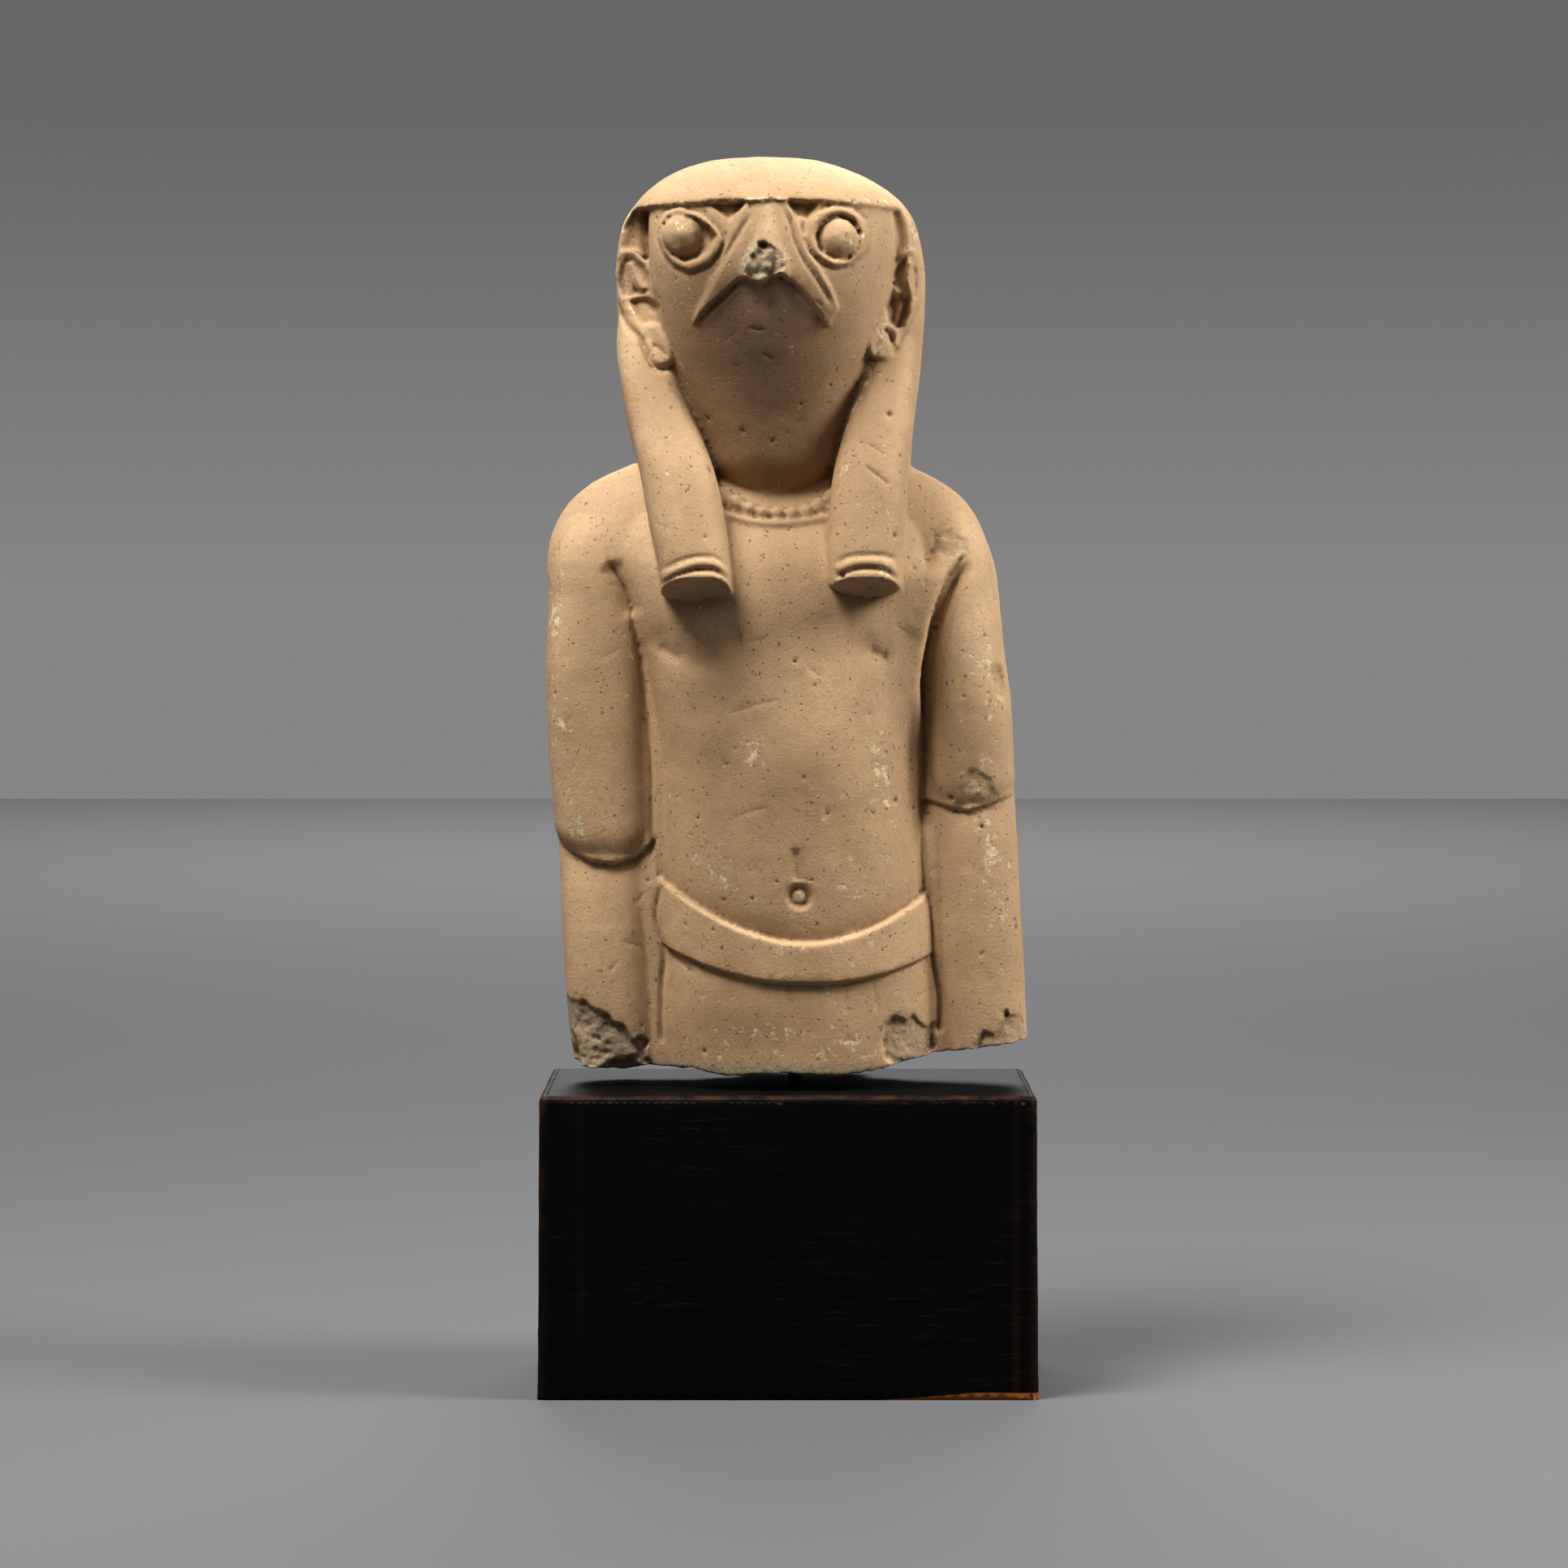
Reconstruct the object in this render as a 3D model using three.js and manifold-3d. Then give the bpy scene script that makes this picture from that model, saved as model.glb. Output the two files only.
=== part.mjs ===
// Torso of a falcon-headed god in limestone, held by a steel pin above a black wood block.
// Millimetres, +Z up, the figure faces -Y. The origin is the middle of the block's underside.
import * as THREE from "three";
import { mergeVertices } from "three/addons/utils/BufferGeometryUtils.js";
import Module from "manifold-3d";

// Driving dimensions, in millimetres
const figureHeight = 396;
const leanPerHeight = 0.0585;
const blockWidth = 212;
const blockDepth = 125;
const blockHeight = 130;
const blockFlare = 1;
const blockArris = 3.5;
const stoneAboveBlock = 6;
const pinDiameter = 6;
const pinDepthInStone = 70;
const pinDepthInBlock = 50;
const pinClearance = 0.3;
const pinX = 3;
const pinY = -2;

// Colours read off the photo
const limestone = { color: 0xb2926b, roughness: 0.9, metalness: 0 };
const darkSteel = { color: 0x3a3836, roughness: 0.45, metalness: 0.9 };
const blackWood = { color: 0x100f0f, roughness: 0.45, metalness: 0 };

// The figure is laid out on a sculptor's grid, 396 squares from the break to the crown.
const gridSquares = 396;
const grid = figureHeight / gridSquares;
const bodyMedianX = 10;

const wasm = await Module();
wasm.setup();

function manifoldOf(geometry) {
  return new wasm.Manifold(
    new wasm.Mesh({
      numProp: 3,
      vertProperties: geometry.attributes.position.array,
      triVerts: new Uint32Array(geometry.index.array),
    }),
  );
}

const weldDistance = 1e-4;
function solid(geometry) {
  const bare = geometry.index ? geometry.toNonIndexed() : geometry.clone();
  bare.deleteAttribute("normal");
  bare.deleteAttribute("uv");
  return manifoldOf(mergeVertices(bare, weldDistance));
}

function geometryOf(manifold) {
  const mesh = manifold.getMesh();
  const geometry = new THREE.BufferGeometry();
  geometry.setAttribute(
    "position",
    new THREE.BufferAttribute(new Float32Array(mesh.vertProperties), 3),
  );
  geometry.setIndex(new THREE.BufferAttribute(mesh.triVerts, 1));
  return geometry;
}

function moveVertices(geometry, move) {
  const place = geometry.attributes.position;
  const point = new THREE.Vector3();
  for (let i = 0; i < place.count; i++) {
    point.fromBufferAttribute(place, i);
    move(point);
    place.setXYZ(i, point.x, point.y, point.z);
  }
  return geometry;
}

// A smooth value at height z from rows that start with their height.
function sectionAt(rows, z) {
  let i = 0;
  while (i < rows.length - 2 && rows[i + 1][0] < z) i++;
  const [a, b] = [rows[i], rows[i + 1]];
  const before = rows[Math.max(i - 1, 0)];
  const after = rows[Math.min(i + 2, rows.length - 1)];
  const span = b[0] - a[0];
  const t = THREE.MathUtils.clamp((z - a[0]) / span, 0, 1);
  return a.map((from, k) => {
    const slopeA = ((b[k] - before[k]) / (b[0] - before[0])) * span;
    const slopeB = ((after[k] - from) / (after[0] - a[0])) * span;
    const rise = b[k] - from;
    const bend = t * t * (3 * rise - 2 * slopeA - slopeB);
    return from + slopeA * t + bend + t * t * t * (slopeA + slopeB - 2 * rise);
  });
}

function roundedPower(value, exponent) {
  return Math.sign(value) * Math.abs(value) ** (2 / exponent);
}

// A body lofted up Z through rounded sections.
// Each row is [height, middle x, middle y, half width, depth in front, depth behind, squareness].
const domeRings = 3;
const domeSweep = THREE.MathUtils.degToRad(82);
function loft(rows, sides, levels, domeBelow = 0, domeAbove = 0, proud = 0) {
  const low = rows[0][0];
  const high = rows[rows.length - 1][0];
  const rings = [];
  for (let k = domeBelow > 0 ? domeRings : 0; k > 0; k--) {
    const turn = (domeSweep * k) / domeRings;
    rings.push([low, -domeBelow * Math.sin(turn), Math.cos(turn), Math.cos(turn) ** 0.3]);
  }
  for (let k = 0; k <= levels; k++)
    rings.push([low + ((high - low) * k) / levels, 0, 1, 1]);
  for (let k = 1; k <= (domeAbove > 0 ? domeRings : 0); k++) {
    const turn = (domeSweep * k) / domeRings;
    rings.push([high, domeAbove * Math.sin(turn), Math.cos(turn), Math.cos(turn)]);
  }
  const steps = rings.length - 1;
  const tube = new THREE.CylinderGeometry(1, 1, 1, sides, steps);
  return solid(
    moveVertices(tube, (point) => {
      const [height, rise, narrow, thin] = rings[Math.round((point.y + 0.5) * steps)];
      const row = sectionAt(rows, height);
      const [, middleX, middleY, halfWidth, front, back, squareness] = row;
      const onRim = Math.hypot(point.x, point.z) > 0.5 ? 1 : 0;
      const turn = Math.atan2(-point.z, point.x);
      const depth = Math.sin(turn) < 0 ? front : back;
      const across = roundedPower(Math.cos(turn), squareness);
      const inward = roundedPower(Math.sin(turn), squareness);
      point.set(
        middleX + onRim * narrow * (halfWidth + proud) * across,
        middleY + onRim * thin * (depth + proud) * inward,
        height + rise,
      );
    }),
  );
}

// The y of a loft's front surface at a place seen from the front.
function frontOf(rows, x, z) {
  const [, middleX, middleY, halfWidth, front, , squareness] = sectionAt(rows, z);
  const across = Math.min(Math.abs((x - middleX) / halfWidth), 1);
  return middleY - front * (1 - across ** squareness) ** (1 / squareness);
}

// A round bar along a smooth path through points given as [x, y, z].
function bar(points, radius, sides = 6, steps = 10) {
  const path = new THREE.CatmullRomCurve3(
    points.map((point) => new THREE.Vector3(...point)),
  );
  const section = new THREE.Shape(
    Array.from({ length: sides }, (_, i) => {
      const turn = (2 * Math.PI * i) / sides;
      return new THREE.Vector2(radius * Math.cos(turn), radius * Math.sin(turn));
    }),
  );
  const options = { steps, bevelEnabled: false, extrudePath: path };
  return solid(new THREE.ExtrudeGeometry(section, options));
}

// A ball stretched to three half sizes and turned, placed by its middle.
function ball(middle, half, turns = [0, 0, 0], across = 16, down = 10) {
  const shape = new THREE.SphereGeometry(1, across, down);
  shape.scale(...half);
  shape.rotateX(turns[0]).rotateY(turns[1]).rotateZ(turns[2]);
  return solid(shape.translate(...middle));
}

// A ring lying in the front view, stretched to half sizes and turned to follow the face.
function ring(middle, halfAcross, halfUp, thickness, turnZ, turnX) {
  const shape = new THREE.TorusGeometry(1, thickness, 5, 16);
  shape.rotateX(Math.PI / 2);
  shape.scale(halfAcross, (halfAcross + halfUp) / 2, halfUp);
  shape.rotateX(turnX).rotateZ(turnZ);
  return solid(shape.translate(...middle));
}

// The prism behind a front outline given as [x, z], from y = near back to y = far.
const inFront = -90;
function through(outline, near, far) {
  const shape = new THREE.Shape(outline.map(([x, z]) => new THREE.Vector2(x, z)));
  const options = { depth: far - near, bevelEnabled: false };
  const slab = new THREE.ExtrudeGeometry(shape, options);
  return solid(slab.rotateX(Math.PI / 2).translate(0, far, 0));
}

// A chip's rough bite: a lump whose facets are pushed in and out by a fixed pattern.
const lumpRoughness = 0.16;
function bite(middle, half, phase) {
  const lump = new THREE.IcosahedronGeometry(1, 1);
  moveVertices(lump, (point) => {
    const wave = Math.sin(5.1 * point.x + phase) * Math.cos(4.3 * point.z - phase);
    point.multiplyScalar(1 + lumpRoughness * (wave + Math.sin(6.7 * point.y)));
  });
  return solid(lump.scale(...half).translate(...middle));
}

// Torso: kilt, hips, slim waist, chest and the shoulders' top
const torsoRows = [
  [-6, -3, 0, 59, 43, 32, 2.9],
  [40, -3, 0, 59.5, 43.2, 32, 2.9],
  [62, -3, 0, 59.5, 43.2, 31, 2.8],
  [95, -3, 0, 58.5, 44.6, 30, 2.6],
  [125, -3, 0, 57.5, 45.2, 30, 2.5],
  [160, -3, 0, 59, 44.2, 32, 2.5],
  [188, -3, 0, 63.5, 43.8, 34, 2.4],
  [206, -3, 0, 68, 44, 35, 2.4],
  [222, -3, 1, 72, 42, 35, 2.3],
  [238, -3, 4, 72, 35.5, 32, 2.2],
  [252, -2, 8, 64, 28.5, 28, 2.1],
  [264, -1, 10, 50, 23, 24, 2],
];
const torso = loft(torsoRows, 30, 14);

// Shoulders: a level yoke that rounds off into both arms
const yokeRows = [
  [196, -5, 2, 86, 18, 24, 3],
  [212, -5.4, 3, 96.5, 26, 27, 3],
  [224, -5.2, 4, 96, 27.5, 27, 3],
  [234, -5, 5, 93.5, 27, 27, 2.8],
  [242, -4.5, 6, 89.5, 26, 26, 2.6],
  [250, -4, 7, 83, 24, 25, 2.4],
  [257, -3.4, 8, 73, 21, 23, 2.2],
  [263, -2, 9, 60, 18, 20, 2.1],
];
const yoke = loft(yokeRows, 28, 7);

// Arms hanging at the sides: an upper arm whose round end overhangs the forearm.
const armWebRows = [
  [-6, -4, 6, 92, 31, 18, 4],
  [100, -4, 6, 91, 29.5, 18, 4],
  [160, -4, 6, 90, 27, 18, 4],
  [195, -4, 6, 88, 22, 18, 4],
  [222, -5, 8, 84, 14, 16, 4],
];
const armWeb = loft(armWebRows, 16, 6);
function arm(side, axis, elbow) {
  const upper = [
    [elbow + 14, axis, -1, 21.2, 26, 25, 2.5],
    [elbow + 50, axis, -1, 21.4, 27, 26, 2.5],
    [175, axis - side * 0.5, 0, 21, 27, 27, 2.4],
    [206, axis - side * 2, 2, 21, 27, 27, 2.3],
  ];
  const fore = [
    [-6, axis + side * 0.5, -5, 19.8, 22, 24, 2.9],
    [50, axis + side * 0.5, -4, 20.4, 22.5, 24, 2.8],
    [elbow + 20, axis, -1, 20.4, 22.5, 23, 2.5],
  ];
  return loft(upper, 20, 3, 17, 40).add(loft(fore, 20, 2));
}
const arms = arm(-1, -83.8, 93).add(arm(1, 74.6, 114));

// Back pillar and the wig's rear part
const pillarMiddleX = -3;
const pillarHalf = 29;
const belowBreak = -6;
const pillarBack = 47;
const pillarTop = 222;
const pillar = through(
  [
    [pillarMiddleX - pillarHalf, belowBreak],
    [pillarMiddleX + pillarHalf, belowBreak],
    [pillarMiddleX + pillarHalf, pillarTop],
    [pillarMiddleX - pillarHalf, pillarTop],
  ],
  10,
  pillarBack,
);
const wigRearRows = [
  [206, -3, 20, 41, 10, 31, 3],
  [232, -2, 18, 46, 10, 33, 2.8],
  [262, -1, 16, 53, 10, 35, 2.6],
  [292, 0, 12, 58, 10, 40, 2.5],
];
const wigRear = loft(wigRearRows, 20, 3);

// Wig: a plain cap, wider at the cheeks, with a level front edge above the brow
const browZ = 372;
const wigRows = [
  [258, 0, 4, 58.5, 24, 44, 2.3],
  [280, 0.2, 4, 61.3, 30, 47, 2.3],
  [302, 1, 4, 64, 36, 50, 2.3],
  [323, 1.6, 4, 66.2, 43, 52, 2.3],
  [345, 2.3, 4, 66.9, 49.5, 53, 2.3],
  [358, 2.8, 4, 65.6, 55.5, 52.5, 2.4],
  [368, 3.4, 4, 62.6, 58, 51, 2.5],
  [376, 3.8, 4, 57.3, 55.5, 48, 2.4],
  [383, 3.2, 5, 49.5, 48, 43, 2.3],
  [389, 2.4, 6, 39.5, 37.5, 36.5, 2.1],
  [393.2, 2, 7, 28, 26, 27, 2],
  [395.2, 2, 8, 18, 17, 17, 2],
  [396, 2, 8, 8, 8, 8, 2],
];
const wigBody = loft(wigRows.slice(0, 8), 30, 6).add(loft(wigRows.slice(7), 30, 5));

// Face: an egg that narrows to the throat above the collar
const faceRows = [
  [252, -1.5, -6, 17, 17, 20, 2],
  [259, -1.2, -6, 25.2, 22.5, 20, 2],
  [272, -1, -6, 31.4, 27.5, 20, 2],
  [286, -0.6, -6, 36.8, 32, 20, 2.1],
  [300, 0, -6, 42.4, 37, 20, 2.1],
  [315, 0.8, -6, 47, 42.5, 20, 2.2],
  [329, 1.9, -6, 49.8, 47, 20, 2.3],
  [343, 3, -6, 51.8, 49.5, 20, 2.5],
  [357, 3.8, -6, 52.8, 48.5, 20, 2.7],
  [374, 4.5, -6, 52, 44.5, 20, 2.8],
];
const throatRound = 5;
const face = loft(faceRows, 32, 10, throatRound);
const faceWindow = through(
  [
    [-25, 240],
    [24, 240],
    [37, 272],
    [49, 300],
    [56, 329],
    [61.5, 350],
    [61, browZ - 1],
    [4, browZ + 1],
    [-51, browZ],
    [-54, 350],
    [-52, 329],
    [-46, 300],
    [-37, 272],
  ],
  inFront,
  -9,
);
const wig = wigBody.subtract(faceWindow).add(face).add(wigRear);

// Beak: a hood raised on the face from the brow down to two mouth corners, with a ridge
// along its middle that ends in a broken tip
const mouthTop = [0.3, 341];
const hoodOutline = [
  [-4, browZ],
  [11, browZ],
  [17.3, 361],
  [20, 348],
  [26, 336],
  [29, 322],
  [13, 336],
  mouthTop,
  [-14.5, 333],
  [-31, 321],
  [-24, 337],
  [-17, 348],
  [-13, 361],
];
const hoodProud = 2.6;
const insideFace = -20;
const hood = loft(faceRows, 32, 10, 0, 0, hoodProud).intersect(
  through(hoodOutline, inFront, insideFace),
);
const beakRows = [
  [324, -1, -6, 26, 44, 20, 2],
  [332, -0.2, -6, 25, 52, 20, 1.9],
  [338, 0.4, -6, 23.5, 59, 20, 1.8],
  [346, 1, -6, 21, 62, 20, 1.8],
  [354, 1.6, -6, 17, 57, 20, 1.9],
  [364, 2.6, -6, 13.5, 51.5, 20, 2],
  [374, 3.4, -6, 11, 46.5, 20, 2],
];
const underBeak = through(
  [[-31, 321], [-31, 305], [29, 305], [29, 322], [13, 336], mouthTop, [-14.5, 333]],
  inFront,
  insideFace,
);
const beakTipBreak = solid(
  new THREE.BoxGeometry(40, 30, 34).rotateX(0.12).rotateY(0.1).translate(0, -76.5, 345),
);
const beakHole = ball([0.3, -62, 352.5], [1.5, 5, 1.3], [0, 0, 0], 6, 5);
const ridge = loft(beakRows, 16, 7).subtract(underBeak).subtract(beakTipBreak);
const beak = hood.add(ridge).subtract(beakHole);
const beakGrooves = [-1, 1].map((side) => {
  const marks = [
    [8.3, 371],
    [14.5, 361],
    [18.5, 348],
    [25, 336],
    [30, 324],
  ];
  const path = marks.map(([x, z]) => {
    const seatX = side * x + 1;
    return [seatX + side * 0.8, frontOf(faceRows, seatX, z) - 0.2, z];
  });
  return bar(path, 1.3, 5, 5);
});

// Eyes: a ball in an oval lid
const eyeMiddles = [
  [-33.4, 358.8],
  [32.9, 356.5],
];
const eyes = eyeMiddles.map(([x, z]) => {
  const seat = frontOf(faceRows, x, z);
  const turn = Math.sign(x) * 0.3;
  const globe = ball([x, seat + 3.4, z], [9.4, 6.2, 9.4], [0, 0, turn], 12, 8);
  return globe.add(ring([x, seat + 1.6, z], 12.4, 12.2, 0.12, turn, -0.05));
});

// Ears: human ears set against the wig, a curled rim round a hollow with a lobe
function ear(side, x) {
  const turns = [0, side * 0.24, side * 0.5];
  const shell = ball([x, -19, 332], [10.5, 7.5, 24], turns, 12, 8);
  const hollow = ball([x - side * 0.5, -27, 330], [6, 6.5, 15], turns, 8, 6);
  const lobe = ball([x - side * 7, -22, 313], [6.5, 6, 7.5], turns, 8, 5);
  const fold = bar(
    [
      [x + side * 5, -25, 350],
      [x + side * 2, -27, 341],
      [x - side * 2, -27, 333],
    ],
    2.8,
    6,
    3,
  );
  return shell.subtract(hollow).add(lobe).add(fold);
}
const ears = ear(-1, -54).add(ear(1, 58.5));

// Lappets: the wig's two front tails, half round, each with two raised bands and a slanting end
const lappetRows = [
  [196, -37.2, -34, 15.4, 24, 12, 2.4],
  [217, -37, -35, 15.8, 24.5, 12, 2.4],
  [238, -39.4, -32, 16.6, 24, 14, 2.3],
  [259, -42.4, -25, 16.2, 23.5, 16, 2.3],
  [276, -46.6, -17, 15.4, 23, 20, 2.3],
  [294, -51, -10, 13, 21, 22, 2.3],
  [312, -53, -5, 12.5, 17, 22, 2.3],
  [330, -54, 0, 10, 12, 18, 2.2],
];
const lappetsMiddleX = -0.8;
const lappetEndX = -37;
const bandHeights = [220.5, 211.5];
const bandProud = 1.5;
const bandHalf = 2;
const bandArch = 4;
const bandReach = 19;
const endSlant = 0.6;
const endEdge = [
  [-33, 199],
  [3, 203],
  [27, 199],
  [27, 180],
  [-33, 180],
];
function lappet(side) {
  const flip = (x) => lappetsMiddleX + side * (x - lappetsMiddleX);
  const rows = lappetRows.map(([z, x, ...rest]) => [z, flip(x), ...rest]);
  const endX = flip(lappetEndX);
  const shell = loft(rows.slice(0, 3), 14, 2, 0, 0, bandProud);
  const arc = (height) =>
    [-1, -0.5, 0, 0.5, 1].map((across) => [
      endX + bandReach * across,
      height + bandArch * (1 - across ** 2),
    ]);
  const bands = bandHeights.map((height) => {
    const outline = [...arc(height - bandHalf), ...arc(height + bandHalf).reverse()];
    return shell.intersect(through(outline, inFront, -30));
  });
  const whole = loft(rows, 14, 7).add(bands[0]).add(bands[1]);
  const below = through(
    endEdge.map(([x, z]) => [endX - side * x, z]),
    inFront,
    -30,
  );
  const slant = new THREE.BoxGeometry(60, 60, 40);
  slant.translate(0, 0, -20).rotateX(-endSlant).translate(endX, -44, 201.9);
  return whole.subtract(below).subtract(solid(slant));
}

// Bead collar between the lappets, over one cord
const beadCount = 8;
const collarHalf = 22.5;
const collarMiddleX = 0;
const beads = Array.from({ length: beadCount }, (_, i) => {
  const across = -1 + (2 * i + 1) / beadCount;
  const x = collarMiddleX + collarHalf * across;
  const z = 243.8 + 6.5 * across ** 2;
  const bead = new THREE.OctahedronGeometry(1, 1).scale(3.3, 3.2, 3.5 + Math.abs(across));
  return solid(bead.translate(x, frontOf(torsoRows, x, z) - 0.6, z));
});
const cord = bar(
  [-1.15, -0.6, 0, 0.6, 1.15].map((across) => {
    const x = collarMiddleX + collarHalf * across;
    const z = 238.6 + 3 * across ** 2;
    return [x, frontOf(torsoRows, x, z), z];
  }),
  1.9,
  6,
  10,
);

// Belt: a raised band that dips at the front, higher at both ends
const beltProud = 2.2;
const beltRows = torsoRows.slice(1, 4);
const beltTop = (x) => 56.8 + 25 * Math.abs((x - 1) / 58) ** 1.9;
const beltFoot = (x) => 40 + 13 * Math.abs((x - 1) / 56) ** 2.1;
const beltStations = Array.from({ length: 11 }, (_, i) => -65 + 13 * i);
const beltOutline = [
  ...beltStations.map((x) => [x, beltFoot(x)]),
  ...beltStations.map((x) => [x, beltTop(x)]).reverse(),
];
const belt = loft(beltRows, 30, 3, 0, 0, beltProud).intersect(
  through(beltOutline, inFront, 60),
);

// Navel and the grooves where the arms meet the body
const navel = ball([0, frontOf(torsoRows, 0, 77) - 0.6, 77.5], [4.1, 1.8, 4.1], [0, 0, 0], 10, 6);
const armGrooves = [
  bar(
    [
      [-77, -33, 226],
      [-68, -38, 203],
      [-63.5, -32, 172],
      [-62.4, -27, 140],
      [-62.2, -27, 82],
    ],
    2,
    5,
    7,
  ),
  bar(
    [
      [80, -32, 230],
      [70, -37, 215],
      [63, -33, 186],
      [57.5, -27, 158],
      [56, -26, 110],
      [57, -26, 82],
    ],
    3.4,
    6,
    8,
  ),
];

// Break below, chips at the edges
const breakSlab = moveVertices(new THREE.BoxGeometry(240, 150, 60, 12, 6, 1), (point) => {
  if (point.z < 0) return;
  const right = Math.max(point.x - 22, 0) / 72;
  const ripple = Math.sin(0.21 * point.x + 0.13 * point.y) + Math.cos(0.17 * point.y - 0.09 * point.x);
  point.z += 1.2 * ripple + 9.5 * right ** 1.4;
});
const underside = solid(breakSlab.translate(0, 0, -30.6));
const bites = [
  bite([-92, -31, 16], [14, 9, 16], 0.4),
  bite([-78, -31, 4], [16, 10, 11], 1.7),
  bite([-108, -12, 4], [9, 18, 14], 2.2),
  bite([43, -42, 15], [12, 7, 12], 2.9),
  bite([94, -20, 4], [12, 14, 9], 0.9),
  bite([-88, 30, 4], [14, 12, 9], 4.1),
  bite([70, 28, 3], [16, 12, 10], 5.3),
  bite([97, -12, 175], [5, 9, 10], 2.5),
  bite([84, -29, 121], [8, 4.5, 9], 3.1),
];

// The carved stone, leaned to the viewer's left and set above the block
function carveFigure() {
  const added = [
    yoke,
    arms,
    armWeb,
    pillar,
    wig,
    beak,
    ...eyes,
    ears,
    lappet(1),
    lappet(-1),
    ...beads,
    cord,
    belt,
  ];
  const cut = [...beakGrooves, navel, ...armGrooves, underside, ...bites];
  let stone = torso;
  for (const form of added) stone = stone.add(form);
  for (const tool of cut) stone = stone.subtract(tool);
  const geometry = geometryOf(stone);
  const footZ = blockHeight + stoneAboveBlock;
  moveVertices(geometry, (point) => {
    const height = grid * point.z;
    point.x = grid * (point.x + bodyMedianX) - leanPerHeight * height;
    point.y = grid * point.y;
    point.z = footZ + height;
  });
  return manifoldOf(geometry).subtract(pinHole(footZ - stoneAboveBlock, pinTop));
}

// Pin and the holes that take it
const pinBottom = blockHeight - pinDepthInBlock;
const pinTop = blockHeight + stoneAboveBlock + pinDepthInStone;
const pinSides = 24;
function rod(radius, from, to) {
  const cylinder = new THREE.CylinderGeometry(radius, radius, to - from, pinSides);
  cylinder.rotateX(Math.PI / 2);
  return solid(cylinder.translate(pinX, pinY, (from + to) / 2));
}
function pinHole(from, to) {
  return rod(pinDiameter / 2 + pinClearance, from, to + pinClearance);
}

// Block: slightly wider at its foot, with its upper edges planed off
function shapeBlock() {
  const foot = [blockWidth / 2 + blockFlare, blockDepth / 2 + blockFlare];
  const top = [blockWidth / 2, blockDepth / 2];
  const levels = [
    [0, foot[0], foot[1]],
    [blockHeight - blockArris, top[0], top[1]],
    [blockHeight, top[0] - blockArris, top[1] - blockArris],
  ];
  const box = new THREE.BoxGeometry(2, 2, 2, 1, 1, levels.length - 1);
  moveVertices(box, (point) => {
    const [z, halfWidth, halfDepth] = levels[Math.round(point.z + 1)];
    point.set(point.x * halfWidth, point.y * halfDepth, z);
  });
  return solid(box).subtract(pinHole(pinBottom - pinClearance, blockHeight + blockArris));
}

function piece(name, manifold, finish) {
  const mesh = new THREE.Mesh(
    geometryOf(manifold),
    new THREE.MeshStandardMaterial(finish),
  );
  mesh.name = name;
  return mesh;
}

const figure = new THREE.Group();
figure.add(piece("horus_figure", carveFigure(), limestone));
figure.add(piece("mount_pin", rod(pinDiameter / 2, pinBottom, pinTop), darkSteel));
figure.add(piece("mount_block", shapeBlock(), blackWood));

export default figure;
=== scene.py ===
import bpy
import bmesh
import math
import numpy as np
from mathutils import Matrix, Vector
from mathutils.kdtree import KDTree


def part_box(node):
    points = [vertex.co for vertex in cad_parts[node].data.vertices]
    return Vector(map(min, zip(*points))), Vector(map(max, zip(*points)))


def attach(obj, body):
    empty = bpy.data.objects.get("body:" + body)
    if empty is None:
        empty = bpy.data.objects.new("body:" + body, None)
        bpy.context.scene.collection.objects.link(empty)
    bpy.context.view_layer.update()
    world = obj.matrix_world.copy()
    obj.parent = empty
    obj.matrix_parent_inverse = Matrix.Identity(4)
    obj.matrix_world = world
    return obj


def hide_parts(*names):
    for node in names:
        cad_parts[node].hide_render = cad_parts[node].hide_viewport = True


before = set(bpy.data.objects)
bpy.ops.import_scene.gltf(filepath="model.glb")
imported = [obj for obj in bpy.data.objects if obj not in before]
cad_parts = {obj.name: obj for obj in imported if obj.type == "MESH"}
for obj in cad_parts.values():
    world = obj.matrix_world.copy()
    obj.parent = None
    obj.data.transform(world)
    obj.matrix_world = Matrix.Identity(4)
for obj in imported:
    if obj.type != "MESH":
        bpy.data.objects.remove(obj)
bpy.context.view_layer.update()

# Camera
# A long lens a little over two metres away, its axis two degrees below level.
# It stands on the photograph's side of the object, the front, and sees it head on.
PHOTO_PIXELS = 1932
FOCAL_PIXELS = 6250
CAMERA_PLACE = (-0.0017, -2.208, 0.3465)
CAMERA_DIP = math.radians(2.25)
lens = bpy.data.cameras.new("camera")
lens.sensor_width = 36
lens.lens = lens.sensor_width * FOCAL_PIXELS / PHOTO_PIXELS
lens.clip_end = 30
camera = bpy.data.objects.new("camera", lens)
camera.location = CAMERA_PLACE
camera.rotation_euler = (math.radians(90) - CAMERA_DIP, 0, 0)
bpy.context.collection.objects.link(camera)
bpy.context.scene.camera = camera

# Stone figure
# One block of fine honey-brown limestone, carved with chisels, rubbed smooth and long buried.
# It broke off below the belt, and its lower edge, beak, right elbow and edges are chipped.
# It is shaped on a grid of one-millimetre squares, upright, and leaned into place at the end.
GRID = 0.001
CROWN = 396
LEAN = 0.0585
MEDIAN = 10
stone_low, stone_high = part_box("horus_figure")
STONE_FOOT = stone_high[2] - CROWN * GRID


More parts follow.
